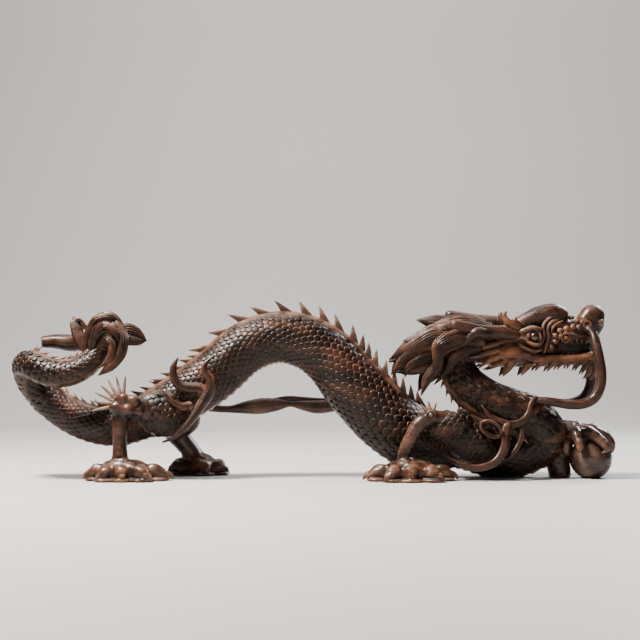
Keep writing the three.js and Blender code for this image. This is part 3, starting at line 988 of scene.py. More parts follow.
def scale_shape() -> Surface:
    """Make one scale, 1 mm wide, its tip along +X."""

    def outline(angle: np.ndarray) -> tuple[np.ndarray, np.ndarray, np.ndarray]:
        c, s = np.cos(angle), np.sin(angle)
        x = np.where(c > 0, 0.72, 0.5) * np.sign(c) * np.abs(c) ** 1.15
        y = 0.55 * np.sign(s) * np.abs(s) ** 0.95
        return x, y, 0.30 * x

    # Relief of each ring: rubbing and a painted highlight along the rim, and painted shade on the skirt
    # down under the scale.
    profile = (
        (0.0, 0.17, 0.46), (0.78, 0.12, 0.56), (0.93, 0.06, 0.92), (1.0, -0.06, 0.25),
        (1.0, -0.46, 0.0),
    )
    shape = ring_shape(profile, 10, outline)
    worn_and_painted_light = shape.looks["relief"]
    # The painted highlight of the rim fades towards the root, so that it is brightest at the tip.
    rootward = np.clip(0.25 - shape.points[:, 0], 0, 0.6) / 0.6
    shape.looks["relief"] = np.where(worn_and_painted_light > 0.6, worn_and_painted_light - 0.38 * rootward, worn_and_painted_light)
    return shape


def blade_shape() -> Surface:
    """Make one blade of the crest: 1 mm long at its base, 1 mm thick and 1 mm tall, leaning to +X."""
    rings, around = 7, 8
    angle = np.linspace(0, 2 * np.pi, around, endpoint=False)
    points, looks = [], []
    for i in range(rings):
        share = i / (rings - 1)
        keep = (1 - share) ** 0.8
        lean = 1.15 * share**1.3
        x = lean + 0.55 * keep * np.cos(angle)
        y = 0.5 * keep**0.6 * np.sin(angle) * (1 - 0.35 * np.abs(np.cos(angle)))
        z = np.full(around, share * 1.3 - 0.3)
        points.append(np.stack([x, y, z], 1))
        # Relief of each point: painted shade at the root, where the blade meets the back, rising to
        # rubbing and a painted highlight at the tip and along the front and back edges.
        looks.extend([0.2 + 0.75 * share + 0.2 * abs(math.cos(a)) for a in angle])
    tip, last = (rings - 1) * around, (rings - 2) * around
    joined = np.vstack([*points[:-1], points[-1][-1:]])
    faces = tube_faces(rings - 1, around)
    faces.extend((last + k, last + (k + 1) % around, tip) for k in range(around))
    faces.append(tuple(reversed(range(around))))
    rubbed_and_painted_light = np.clip(np.array(looks[: tip + 1]), 0, 1)
    return Surface(joined, faces, {"relief": rubbed_and_painted_light}).facing_out()


# ---- Body ----

SPINE = (
    (-370, 44, 181, 8.5, -50), (-352, 48, 182, 10.5, -50), (-328, 46, 180, 12.5, -50),
    (-304, 34, 184, 12.5, -50), (-285, 14, 187, 12, -50), (-281, -8, 174, 12.5, -50),
    (-292, -26, 153, 15, -50), (-315, -36, 140, 17, -50), (-343, -38, 139, 18, -55),
    (-369, -28, 150, 18.5, -60), (-380, -6, 147, 19, -50), (-374, 14, 124, 20, -30),
    (-350, 18, 98, 22, -10), (-310, 14, 75, 24, 0), (-266, 6, 67, 26, 4), (-223, 2, 80, 29, 8),
    (-179, 2, 102, 33, 10), (-130, 2, 136, 34.5, 10), (-86, 2, 173, 34, 10), (-43, 2, 186, 34, 10),
    (-3, 2, 177, 36, 14), (27, 2, 156, 38.5, 18), (57, 2, 122, 42, 28), (101, 4, 75, 43, 20),
    (143, 12, 46, 39, 0), (194, 14, 40, 29, 0), (250, 14, 30, 33, 0), (292, 8, 38, 31, 0),
    (308, 0, 56, 30, 30), (293, -6, 77, 30.5, 50), (261, -10, 88, 31, 70), (227, -10, 104, 29, 75),
    (203, -6, 126, 26, 60), (195, -4, 151, 23, 45), (205, -4, 174, 21, 40),
)
HIND_STATION = 14
CHEST_STATION = 28
LAST_STATION = len(SPINE) - 1


@dataclass(frozen=True)
class Stretch:
    """A stretch of the spine: one tube of skin."""

    start: float
    end: float
    swell: float = 1.0


@dataclass(frozen=True)
class ScaleRun:
    """Rows of scales over part of the spine."""

    name: str
    start: float
    end: float
    per_side: int
    swell: float = 1.0
    down_to: float = 149.0


@dataclass(frozen=True)
class CrestRun:
    """A run of blades along the back."""

    start: float
    end: float
    count: int
    height: float
    base: float


@dataclass
class Body:
    """The round spine with its dorsal ridge, side piping, belly plates, scales and crest."""

    ridge_width: float = 7.6
    ridge_height: float = 3.4
    piping_angle: float = math.radians(152)
    piping_width: float = 2.6
    piping_height: float = 1.8
    plate: float = 11.0
    plate_height: float = 2.2
    skin_depth: float = 1.6
    full_girth: float = 14.0
    around: int = 48
    scale_start: float = 10.0
    scale_step: float = 0.74
    scale_sink: float = 1.7
    scale_size: Station = (1.04, 0.98, 0.62)
    edge_scale: float = 0.86
    floor_gap: float = 0.35
    tightest_bend: float = 1.5
    blade_thickness: float = 4.4
    wobble: float = 4.0
    stretches: tuple[Stretch, ...] = (
        Stretch(0.0, HIND_STATION + 0.4),
        Stretch(HIND_STATION, CHEST_STATION + 0.3, 1.01),
        Stretch(CHEST_STATION, LAST_STATION),
    )
    scales: tuple[ScaleRun, ...] = (
        ScaleRun("tail", 0.0, 12.0, 5, 1.0, 176.0),
        ScaleRun("rump", 12.0, 14.2, 6),
        ScaleRun("back", 14.2, 24.6, 9, 1.01),
        ScaleRun("chest", 24.6, 28.2, 7, 1.01),
        ScaleRun("neck", 28.3, LAST_STATION, 5),
    )
    crest: tuple[CrestRun, ...] = (
        CrestRun(4.6, 13.4, 26, 9, 12),
        CrestRun(13.7, 15.9, 8, 12, 15),
        CrestRun(16.05, 17.1, 5, 14, 16),
        CrestRun(17.4, 21.2, 9, 18, 24),
        CrestRun(21.45, 24.6, 12, 20, 18),
        CrestRun(28.6, 33.4, 18, 9, 12),
    )

    line: Centreline = field(init=False)

    def __post_init__(self) -> None:
        """Lay the spine."""
        self.line = Centreline(SPINE, HIND_STATION)

    def _outline(self, swell: float) -> Outline:
        """Return the outline of the skin."""

        def reach(s: Sections, angle: np.ndarray, row: np.ndarray) -> np.ndarray:
            side = np.abs((angle + np.pi) % (2 * np.pi) - np.pi)
            radius = s.radius[row] * swell
            taper = np.clip(radius / self.full_girth, 0.35, 1)
            ridge = np.exp(-((side * radius / (self.ridge_width * taper)) ** 4))
            off = (side - self.piping_angle) * radius / (self.piping_width * taper)
            piping = np.exp(-(off**2))
            belly = 1 / (1 + np.exp(-off * 2 + 2))
            phase = (s.travel[row] / self.plate) % 1
            plate = (1 - phase) * self.plate_height * belly
            lumps = 0.5 + 0.5 * np.cos(2 * np.pi * s.travel[row] / 5.5)
            lift = ridge * self.ridge_height + piping * (self.piping_height + 0.7 * lumps) + plate
            return radius - self.skin_depth + lift * taper

        return reach

    def skin(self) -> Surface:
        """Return the bare spine."""
        made = []
        for stretch in self.stretches:
            sections = self.line.spaced(self.plate / 5, stretch.start, stretch.end)
            made.append(lofted(sections, self.around, self._outline(stretch.swell)))
        whole = merged(made)
        arc = whole.looks["angle"] * np.pi * whole.looks["girth"]
        band = np.exp(-((arc / (self.ridge_width + 1.0)) ** 4))
        whole.looks["lift"] = 0.30 * band
        whole.looks["rust"] = 0.25 * band
        return whole

    def _scales(self, stretch: ScaleRun) -> Places:
        """Return where the scales of a run stand."""
        places = Places()
        travel = self.line.travel_at(stretch.start) + 3
        end = self.line.travel_at(stretch.end)
        row = 0
        while travel < end:
            at = np.array([np.interp(travel, self.line.travel, self.line.fine)])
            s = self.line.sections(at)
            radius = float(s.radius[0]) * stretch.swell
            first = self.scale_start * min(radius / self.full_girth, 1) / radius
            covered = math.radians(stretch.down_to) - first
            width = covered * radius / stretch.per_side
            offset = 0.5 * (row % 2)
            count = stretch.per_side + (row % 2)
            for side in Side:
                for k in range(count):
                    turn = first + (k + 0.5 - offset) * covered / stretch.per_side
                    angle = np.array([side.value * turn])
                    out = np.cos(angle)[0] * s.back[0] + np.sin(angle)[0] * s.across[0]
                    if out.dot(s.inward[0]) * radius > self.tightest_bend * s.bend[0]:
                        continue
                    reach = np.array([radius - self.scale_sink])
                    point = s.ring_points(angle, reach, np.array([0]))[0]
                    if point[2] < self.floor_gap * width:
                        continue
                    size = width * (self.edge_scale if offset and k in (0, count - 1) else 1.0)
                    places.add(point, out, -s.tangent[0], tuple(size * share for share in self.scale_size))
            travel += self.scale_step * width
            row += 1
        return places

    def _blades(self) -> Places:
        """Return where the blades of the crest stand."""
        places = Places()
        for run in self.crest:
            s = self.line.sections(np.linspace(run.start, run.end, run.count))
            for i in range(run.count):
                root = s.centre[i] + s.back[i] * s.radius[i] * 0.93
                places.add(root, s.back[i], -s.tangent[i], (run.base, self.blade_thickness, run.height))
        return places

    def build(self, carver: Carver, planter: Planter) -> None:
        """Add the spine, its scales and its crest."""
        carver.carve("spine", self.skin(), BODY_FINISH, passes=5)
        scale = scale_shape()
        wood = carver.finishes.material(BODY_FINISH)
        for seed, run in enumerate(self.scales, 11):
            name = f"scales_{run.name}"
            join_dragon(planter.plant(name, scale, self._scales(run), wood, self.wobble, seed))
        wood = carver.finishes.material(BLADE_FINISH)
        join_dragon(planter.plant("crest_blades", blade_shape(), self._blades(), wood, self.wobble, 29))


# ---- Hair ----


@dataclass(frozen=True)
class Lock:
    """A fluted lock of carved hair."""

    stations: tuple[Station, ...]
    flutes: int = 13
    wide: float = 0.6
    depth: float = 0.16
    twist: float = 0.6
    phase: float = 0.0
    swell: float = 0.07


def fluted(lock: Lock, spacing: float = 3.4) -> Surface:
    """Loft a lock with grooves that run along it.

    Args:
        lock: the lock.
        spacing: distance between rings, in millimetres.

    Returns:
        The closed surface.
    """
    line = Centreline(lock.stations)

    def reach(s: Sections, angle: np.ndarray, row: np.ndarray) -> np.ndarray:
        radius = s.radius[row]
        oval = lock.wide / np.sqrt((lock.wide * np.cos(angle)) ** 2 + np.sin(angle) ** 2)
        share = s.at[row] / line.last
        flow = lock.flutes * (angle + lock.twist * share) / 2 + lock.phase
        strand = np.abs(np.cos(flow)) ** 0.7
        wide_wave = 0.5 + 0.5 * np.cos(3 * angle + 4 * share + lock.phase)
        return radius * oval * (1 - lock.depth * (1 - strand) - lock.swell * wide_wave)

    return lofted(line.spaced(spacing), 4 * lock.flutes, reach)


STRAND_SWAY = 0.20  # how far a strand wanders up and down, as a share of the lock's radius
FEWEST_FLUTES = 5
# Each strand of a lock: how far it lies aside and up, then its shares of the girth, length and flutes.
STRANDS = (
    (0.0, 0.34, 0.80, 1.0, 1.0), (0.22, -0.42, 0.74, 0.93, 1.0), (-0.46, -0.02, 0.66, 0.86, 1.0),
    (-0.50, 0.52, 0.36, 1.04, 0.5), (-0.42, -0.62, 0.34, 0.80, 0.5),
)


def bundle(
    stations: Sequence[Station],
    flutes: int,
    phase: float,
    depth: float = 0.32,
    strands: int = len(STRANDS),
) -> list[Surface]:
    """Return a lock made of overlapping strands of different lengths.

    Args:
        stations: the course of the whole lock.
        flutes: grooves around a thick strand.
        phase: turns the grooves.
        depth: depth of the grooves, as a share of the radius.
        strands: how many of the strands to make.

    Returns:
        The strands.
    """
    made = []
    last = len(stations) - 1
    for k, (aside, up, keep, reach, fine) in enumerate(STRANDS[:strands]):
        course = []
        for i, (x, y, z, radius) in enumerate(stations):
            near = math.copysign(1.0, y) if y else 1.0
            sway = STRAND_SWAY * radius * math.sin(1.7 * i + 2.1 * k)
            girth = keep * radius if i < last else radius
            course.append([x, y - near * aside * radius, z + up * radius + sway, girth])
        course[-1] = [p + (q - p) * reach for p, q in zip(course[-2], course[-1])]
        course[-1][3] = TIP
        count = max(int(flutes * fine), FEWEST_FLUTES)
        strand = Lock(tuple(map(tuple, course)), count, 0.72, depth, twist=0.7, phase=phase + k)
        made.append(fluted(strand))
    return made


MANE_SWEEP = (
    (222, -12, 190, 15), (196, -20, 189, 17), (158, -22, 186, 16), (128, -20, 172, 13),
    (102, -16, 157, TIP),
)
MANE_FALL = (
    (226, -24, 184, 12), (190, -31, 184, 13), (166, -34, 172, 12), (164, -34, 150, 9),
    (149, -30, 128, 7), (143, -28, 110, TIP),
)
MANE_UNDER = ((196, -10, 180, 16), (164, -14, 168, 16), (136, -16, 153, 11), (108, -16, 143, TIP))
MANE_TOP = ((220, 0, 196, 12), (196, 0, 201, 14), (164, 0, 206, 11), (138, 0, 210, TIP))
TAIL_LOCKS = (
    ((-296, -8, 158, 9), (-302, -4, 182, 11), (-314, 0, 202, 12), (-320, 0, 212, 7)),
    ((-290, -2, 178, 12), (-284, -2, 200, 13), (-268, -6, 208, 12), (-247, -10, 198, TIP)),
    (
        (-284, -10, 176, 11), (-266, -20, 196, 11), (-250, -26, 188, 10), (-250, -32, 168, 10),
        (-263, -34, 150, 8), (-280, -32, 136, TIP),
    ),
    ((-274, 4, 184, 11), (-247, 6, 190, 12), (-232, 6, 187, 9), (-222, 4, 182, TIP)),
    ((-290, 16, 178, 10), (-276, 22, 160, 9), (-270, 22, 142, TIP)),
    (
        (-292, -14, 160, 10), (-290, -20, 180, 11), (-284, -22, 198, 11), (-270, -22, 206, 9),
        (-256, -20, 202, TIP),
    ),
    (
        (-296, -16, 162, 8), (-304, -18, 178, 8), (-312, -14, 192, 8), (-316, -8, 206, 7),
        (-308, -6, 211, TIP),
    ),
    (
        (-284, -18, 168, 9), (-270, -28, 184, 10), (-262, -32, 176, 9), (-264, -35, 160, 7),
        (-278, -34, 146, TIP),
    ),
    (
        (-298, -14, 166, 7), (-296, -20, 188, 8), (-286, -24, 207, 8), (-270, -24, 213, 7),
        (-256, -22, 210, TIP),
    ),
    (
        (-292, -20, 172, 6), (-284, -28, 192, 7), (-272, -32, 200, 7), (-258, -34, 192, 6),
        (-252, -36, 176, TIP),
    ),
)
MANE_EXTRA = (
    (
        (236, -22, 196, 8), (208, -28, 197, 10), (176, -28, 196, 10), (150, -25, 187, 7),
        (128, -22, 174, TIP),
    ),
    (
        (222, -22, 176, 9), (200, -30, 172, 9), (186, -32, 160, 8), (176, -30, 142, 6),
        (160, -28, 124, TIP),
    ),
    ((228, -14, 200, 9), (200, -16, 204, 9), (174, -14, 203, 8), (150, -12, 196, TIP)),
    (
        (176, -24, 182, 8), (148, -26, 176, 8), (126, -24, 164, 7), (112, -22, 148, 5),
        (106, -20, 134, TIP),
    ),
    ((168, -22, 170, 8), (144, -24, 162, 7), (126, -22, 148, 6), (122, -20, 134, TIP)),
    ((182, -30, 190, 7), (160, -30, 190, 7), (140, -28, 184, 6), (122, -24, 180, TIP)),
)


@dataclass
class Hair:
    """The mane behind the head and the tuft at the tail."""

    near_flutes: int = 14
    far_flutes: int = 11
    far_strands: int = 3
    tuft_flutes: int = 12
    tuft_depth: float = 0.46
    rust: float = 0.10

    def mane(self) -> Surface:
        """Return the mane."""
        made = [fluted(Lock(MANE_TOP, self.far_flutes, 0.8, 0.12))]
        locks = ((MANE_SWEEP, -4), (MANE_FALL, 4), (MANE_UNDER, -3), *((m, 2) for m in MANE_EXTRA))
        for i, (near, far_lift) in enumerate(locks):
            far = on_far_side(near, far_lift)
            made.extend(bundle(near, self.near_flutes, 0.4 + i))
            made.extend(bundle(far, self.far_flutes, 1.1 + i, strands=self.far_strands))
        return merged(made)

    def tuft(self) -> Surface:
        """Return the tail tuft."""
        made = []
        for i, stations in enumerate(TAIL_LOCKS):
            made.extend(bundle(stations, self.tuft_flutes, 0.5 * i, self.tuft_depth))
        return merged(made)

    def build(self, carver: Carver) -> None:
        """Add the hair."""
        for name, hair in (("mane", self.mane()), ("tail_tuft", self.tuft())):
            hair.looks["rust"] = np.full(len(hair.points), self.rust)
            carver.carve(name, hair, HAIR_FINISH, passes=6, depth=0.7)


# ---- Head ----

HORN = (
    (276, -16, 188, 6), (262, -20, 190, 8), (246, -25, 192, 9.4), (232, -28, 193, 9.6),
    (218, -31, 195, 8.8), (205, -33, 198, 8.2), (194, -34, 200.5, 7.6), (186, -35, 202.5, 6.8),
    (180, -35, 204.5, 5.6),
)
HORN_TINE = (
    (238, -29, 192, 6), (226, -34, 191, 7.6), (215, -38, 191.5, 7.8), (208, -38, 187, 6.2),
    (201, -37, 180, 4.0), (194, -37, 175, TIP),
)
WHISKER = (
    (362, -12, 200, 5), (370, -18, 192, 6.2), (373, -26, 178, 6.4), (376, -32, 158, 6.6),
    (378, -34, 138, 7.0), (376, -35, 120, 7.0), (368, -36, 106, 6.8), (354, -36, 99, 6.6),
    (336, -35, 98, 6.2), (316, -32, 101, 5.8), (290, -26, 104, 5),
)


BLUNT_END = 0.2  # radius left at the very end of a limb, as a share
GROOVE_WIDTH = 0.35  # width of a side groove, as the cosine of the angle from the back


def smooth_limb(
    stations: Sequence[Station],
    around: int = 24,
    spacing: float = 2.0,
    groove: float = 0.0,
    power: float = 2.0,
) -> Surface:
    """Loft a smooth limb with rounded ends.

    Args:
        stations: its course and radii.
        around: points in a ring.
        spacing: distance between rings.
        groove: depth of the groove along each side, as a share of the radius.
        power: 2 for a round section; less sharpens its edges towards the back and the belly.

    Returns:
        The closed surface.
    """
    line = Centreline(stations)

    def reach(s: Sections, angle: np.ndarray, row: np.ndarray) -> np.ndarray:
        radius = s.radius[row]
        left = np.minimum(s.travel[-1] - s.travel[row], s.travel[row]) / np.maximum(radius, 0.1)
        rounded = np.sqrt(np.clip(1 - np.clip(1 - left, 0, 1) ** 2, BLUNT_END**2, 1))
        section = (np.abs(np.cos(angle)) ** power + np.abs(np.sin(angle)) ** power) ** (-1 / power)
        return radius * rounded * section * (1 - groove * np.exp(-((np.cos(angle) / GROOVE_WIDTH) ** 2)))

    return lofted(line.spaced(spacing), around, reach)


EYE = (292.6, 21.0, 186.9)
EYE_RADIUS = 6.6
FOREHEAD = (
    (262, 0, 196, 9), (276, 0, 203, 11), (290, 0, 209, 13), (304, 0, 214.5, 14.5),
    (319, 0, 216.5, 15.5), (329, 0, 216, 12.5),
)
JAW = (
    (242, 0, 162, 15), (272, 0, 159, 12), (300, 0, 159.5, 9.5), (335, 0, 158.5, 7.5),
    (362, 0, 158.5, 8), (375, 0, 163, 8),
)
SNOUT = ((345, 0, 190, 11), (362, 0, 190, 10.5), (372, 0, 194, 10), (378, 0, 202, 10))
JAW_SIDE = (
    (256, 17, 161, 8), (290, 16, 158.5, 7), (322, 13, 157.5, 6), (350, 11, 158, 5.5), (368, 7, 161, 6),
)
FOLDS = (
    (
        (327, 12, 211, 1.8), (316, 16, 206, 2.4), (311, 17.5, 198, 2.6), (312, 17.5, 188, 2.6),
        (309, 17, 176, 2.4), (306, 16, 166, 1.6),
    ),
    (
        (332, 12, 208, 1.5), (321, 15.5, 203, 2.0), (316.5, 17, 196, 2.2), (317, 16.5, 187, 2.2),
        (314, 16, 176, 1.8),
    ),
    (
        (318, 14, 214, 1.6), (308, 17.5, 207, 2.2), (304.5, 19, 199, 2.2), (306, 19.5, 190, 2.2),
        (304, 19, 180, 1.6),
    ),
)
LIDS = (
    (
        (264, 19.5, 184, 1.2), (272, 22, 185.5, 2.0), (280, 23.5, 184, 2.4), (285, 24.5, 179.5, 2.6),
        (293, 25, 176, 2.5), (301, 23, 178, 2.0),
    ),
    (
        (265, 19.5, 182.5, 1.2), (272, 21.5, 177, 2.2), (281, 23, 171, 2.5), (292, 23, 167.5, 2.3),
        (302, 20, 170, 1.6),
    ),
    ((268, 17, 190, 2.6), (280, 21.5, 195.5, 3.4), (291, 22.5, 198.5, 3.4), (301, 20.5, 196.5, 2.4)),
)
BEADS = (
    (352, 15.5, 199.5, 3.6), (344.5, 16.5, 200.5, 4.0), (335.5, 17, 197.5, 4.2), (327, 17.5, 195, 4.0),
    (320.8, 18, 188.5, 3.8), (320.5, 17.5, 180.5, 3.5), (316, 17, 173, 3.4), (345, 8, 213, 3.2),
    (344, 11, 206, 3.4), (352, 9, 208, 3.0), (357, 14, 206, 3.6), (364, 14.5, 200, 3.2),
)
LIP = (
    (324, 17, 180, 1.4), (326.5, 18, 187, 1.8), (333, 18.5, 191.5, 1.9), (342, 18, 191.5, 1.8),
    (351, 16.5, 188.5, 1.6), (363, 13, 189, 1.2),
)
EAR = (
    (
        (276, 13, 199, 7), (266, 17, 202, 7.5), (259, 20, 206, 6.2), (254.5, 21, 212, 4.4),
        (253, 21.5, 217.5, 3.0), (256, 21.5, 220, 1.4),
    ),
    ((278, 13, 200, 5), (271, 17, 205, 4.6), (267, 20, 208.5, 3.4), (268.5, 20.5, 212, 1.8)),
)
JAW_HOOKS = (
    (250.9, 134.7), (275.2, 135.5), (294, 141.5), (310, 140.5), (323.5, 143), (336, 144), (347, 141.5),
    (356, 137),
)
CHEEK_SPIKES = (
    ((250, 18, 179, 5.5), (232, 23, 175, 4.2), (216, 27, 171.5, 2.4), (203, 29, 171, 0.8)),
    ((250, 19, 171, 5.5), (230, 24, 166, 4.4), (216, 27, 161.5, 2.6), (205, 29, 159, 0.8)),
    ((254, 18, 163, 5.5), (236, 21, 158, 4.2), (226, 23, 151, 2.4), (218, 24, 145, 0.8)),
    ((262, 18, 158, 5.0), (248, 20, 152, 3.8), (238, 21, 147, 2.2), (229, 21, 143, 0.8)),
)
CHIN_BEARD = (
    ((374, 5, 156, 4.0), (377, 5, 146, 3.2), (374, 5, 137, 2.0), (370, 5, 130, 0.8)),
    ((367, 7, 154, 3.8), (369, 7.5, 145, 3.0), (366, 8, 137, 1.8), (361, 8, 131, 0.8)),
    ((378, 0, 160, 4.0), (382, 0, 150, 3.2), (380, 0, 141, 2.0), (375, 0, 134, 0.8)),
)
GROOVES = (
    (
        (268, 17, 193, 1.0), (285, 19, 203, 1.2), (300, 19, 208, 1.2), (314, 18.5, 210, 1.2),
        (331, 15, 211, 1.0),
    ),
    ((262, 12, 203, 0.9), (280, 13, 212, 1.0), (296, 14.5, 219, 1.0), (312, 13, 226, 0.8)),
    ((246, 22, 176, 1.0), (262, 27, 176, 1.2), (278, 25, 169, 1.2), (292, 23, 162, 1.0)),
    ((252, 25, 158, 0.9), (272, 25, 157, 1.0), (290, 21, 153, 1.0)),
    ((362, 15, 215, 0.9), (370, 16, 208, 1.0), (381, 13, 205, 1.0), (388, 6, 206, 0.8)),
)
# Places where the wood shows rust red: the middle on the far side, how far it spreads and how strong.
RUSTY = (
    ((262, 24, 166), 26, 1.0),
    ((240, 26, 160), 24, 0.9),
    ((300, 16, 152), 20, 0.8),
    ((335, 12, 150), 22, 0.7),
    ((364, 6, 166), 18, 0.9),
    ((332, 17, 196), 15, 0.8),
    ((356, 12, 204), 14, 0.9),
    ((262, 14, 200), 20, 0.7),
    ((238, 20, 186), 20, 0.5),
)


def circle(
    centre: Station, radius: float, thickness: float, squash: float = 1.0, tip: float = 0.0
) -> list[Station]:
    """Return the stations of a ring that faces sideways.

    Args:
        centre: its middle.
        radius: its radius along its long axis.
        thickness: radius of the ring's own section, which thins at the two ends when it is squashed.
        squash: its other radius as a share of the first.
        tip: degrees that its long axis is turned down at +X.

    Returns:
        The stations, the last on the first.
    """
    x, y, z = centre
    turn = math.radians(tip)
    made = []
    for t in np.linspace(0, 2 * np.pi, 13):
        u, w = radius * math.cos(t), radius * squash * math.sin(t)
        thick = thickness * (1 - 0.45 * (1 - squash) * math.cos(t) ** 2)
        across = u * math.cos(turn) + w * math.sin(turn)
        up = w * math.cos(turn) - u * math.sin(turn)
        made.append((x + across, y - 0.25 * abs(w), z + up, thick))
    return made


MOUTH_SHADE = ((347, 0, 177), (24, 15, 9.5))  # middle and radii of the painted shade inside the mouth
RINGS = (
    circle((364, 15.5, 203), 4.6, 2.0),
    circle((EYE[0], EYE[1] + 2.0, EYE[2]), 8.2, 2.3),
    circle((335, 16.5, 186), 5.6, 1.9),
)


@dataclass
class Head:
    """The skull, jaws, horns, ears, eyes and whiskers."""

    cell: float = 1.02
    hook_root: float = 8.0
    teeth_a_side: int = 6
    far_horn_lift: float = 15.0

    def _mass(self, clay: Clay) -> None:
        """Rough the head out: cranium, brow lobe, muzzle, nose and jaws."""
        clay.ball((256, 0, 184), (40, 23, 19), 6)
        clay.ball((280, 0, 188), (30, 23, 16), 5, -10)
        clay.ball((226, 0, 168), (24, 17, 17), 5)
        clay.ball((331, 0, 203), (15, 12, 9), 4)
        clay.rope(FOREHEAD, 3)
        clay.ball((331, 0, 189), (37, 14.5, 11), 5)
        clay.ball((350, 0, 199), (18, 13, 9), 4)
        clay.ball((373, 0, 215.5), (16.5, 15, 15), 3)
        clay.ball((366, 0, 203), (13, 15, 9), 4)
        clay.rope(JAW, 4)
        clay.ball((345, 0, 175), (26, 6, 12), 3)
        clay.ball((300, 0, 171), (28, 13.5, 15), 4)
        clay.rope(SNOUT, 4)
        clay.ball((376, 0, 207), (12, 14, 12), 3)
        clay.ball((365, 0, 210), (13, 15.5, 12), 3)
        clay.ropes((JAW_SIDE,), 4)
        for side in Side:
            clay.ball((261, side.value * 18, 167), (21, 9.5, 12.5), 4)
            clay.ball((284, side.value * 17, 160), (16, 8, 8), 3)

    def _features(self, clay: Clay) -> None:
        """Carve the eyes, lids, folds, beads, lips, ears, hooks and beard."""
        x, y, z = EYE
        for side, rings in zip(Side, zip(*(both_sides(ring) for ring in RINGS))):
            sign = side.value
            clay.ball((x, sign * (y + 4), z), (8.5, 6, 8.0), 2, cut=Cut.CARVE)
            clay.ball((346, sign * 16, 176), (19, 8, 6.5), 2, cut=Cut.CARVE)
            nostril, lid, ringlet = rings
            clay.rope(nostril, 0.8)
            clay.ball((364, sign * 18.5, 203), (3.2, 4, 2.8), 1, cut=Cut.CARVE)
            clay.ball((381, sign * 11, 206), (5, 5, 5), 1.2)
            clay.rope(lid, 0.8)
            clay.rope(ringlet, 0.8)
            clay.ball((335, sign * 17, 186), (3.2, 3, 3.2), 0.6)
            for bx, by, bz, radius in BEADS:
                clay.ball((bx, sign * by, bz), (radius,) * 3, 0.8)
        clay.ropes(FOLDS + LIDS + (LIP,), 1.0)
        clay.ropes(EAR, 1.4)
        clay.ropes(CHEEK_SPIKES + CHIN_BEARD, 1.2)
        clay.ropes([self._hook(i, x, z) for i, (x, z) in enumerate(JAW_HOOKS)], 1.2)
        clay.ropes(GROOVES, 1.6, Cut.CARVE)

    def _hook(self, number: int, x: float, z: float) -> tuple[Station, ...]:
        """Return the stations of a hook under the jaw, by its number and the place of its tip."""
        out, size = 18 - 1.5 * number, self.hook_root - 0.5 * number
        return (
            (x + 22, out - 5, 159, size * 0.6),
            (x + 13, out - 1, 155, size * 0.95),
            (x + 6, out + 1, z + 9, size * 0.56),
            (x, out + 2, z, 0.7),
        )

    def _teeth(self) -> list[Surface]:
        """Return the teeth along both jaws."""
        made = []
        for i, x in enumerate(np.linspace(330, 364, self.teeth_a_side)):
            for side in Side:
                y = side.value * (13.0 - 0.5 * i)
                low_y = y * 0.88
                size = 2.3 if i == self.teeth_a_side - 1 else 1.7
                up = (
                    (x, y, 186 - 0.2 * i, size), (x, y, 182, size * 0.8),
                    (x - 0.8, y, 179.5 - size, 0.5),
                )
                down = (
                    (x + 2, y * 0.86, 159, size), (x + 2, low_y, 163, size * 0.8),
                    (x + 1.2, low_y, 165 + size, 0.5),
                )
                made.extend(smooth_limb(tooth, 10, 1.5) for tooth in (up, down))
        return made

    def _skull(self) -> Surface:
        """Return the head as one carved mass, with its rusty places and painted shade inside the mouth."""
        clay = Clay((198, -40, 124), (394, 40, 238), self.cell)
        self._mass(clay)
        self._features(clay)
        surface = clay.skin()
        rust = np.zeros(len(surface.points))
        folded = surface.points.copy()
        folded[:, 1] = np.abs(folded[:, 1])
        for centre, reach, strength in RUSTY:
            gap = np.linalg.norm((folded - np.array(centre)) * np.array([1.0, 0.7, 1.0]), axis=1)
            rust = np.maximum(rust, strength * np.clip(1.25 - gap / reach, 0, 1))
        surface.looks["rust"] = rust
        centre, radii = MOUTH_SHADE
        mouth = np.linalg.norm((surface.points - np.array(centre)) / np.array(radii), axis=1)
        # Painted shade: the relief is lowered towards the middle of the mouth, which darkens the wood
        # there.
        surface.looks["lift"] = -0.9 * np.clip(2.4 - 2 * mouth, 0, 1)
        return surface

    def build(self, carver: Carver) -> None:
        """Add the head."""
        carver.carve("head", self._skull(), HEAD_FINISH, passes=10, depth=0.75)
        eyes = []
        for side in Side:
            centre = np.array([EYE[0], side.value * EYE[1], EYE[2]])
            ball = Clay(centre - 9, centre + 9, 0.9)
            ball.ball(centre, (EYE_RADIUS,) * 3)
            eyes.append(ball.skin())
        carver.carve("eyes", merged(eyes), EYE_FINISH, passes=2, depth=4.0)
        teeth = merged(self._teeth())
        # Painted shade: the teeth are darkened, as they stand in the mouth.
        teeth.looks["lift"] = np.full(len(teeth.points), -0.2)
        carver.carve("teeth", teeth, HEAD_FINISH)
        horns = [HORN, HORN_TINE, *(on_far_side(h, self.far_horn_lift) for h in (HORN, HORN_TINE))]
        horns = [smooth_limb(horn, 20, 1.6) for horn in horns]
        carver.carve("horns", merged(horns), HEAD_FINISH, passes=4, depth=3.0)
        far_whisker = (*on_far_side(WHISKER)[:-1], (284, 12, 98, 5))
        whiskers = [smooth_limb(whisker, 20) for whisker in (WHISKER, far_whisker)]
        carver.carve("whiskers", merged(whiskers), HEAD_FINISH, passes=4, depth=3.0)


# ---- Limbs ----

# Stations along a toe and along its claw: [share of the reach, height, radius].
TOE = (
    (0.1, 14, 12), (0.36, 15.5, 11.0), (0.56, 12, 9.4), (0.76, 12.5, 9.6), (0.90, 9, 7.6),
    (1.0, 7.0, 6.0),
)
CLAW = ((0.90, 9, 4.4), (1.02, 9.5, 4.0), (1.11, 6.5, 3.0), (1.17, 1.8, 1.2))
TOE_RIM = ((0.80, 2.6, 0.0),)


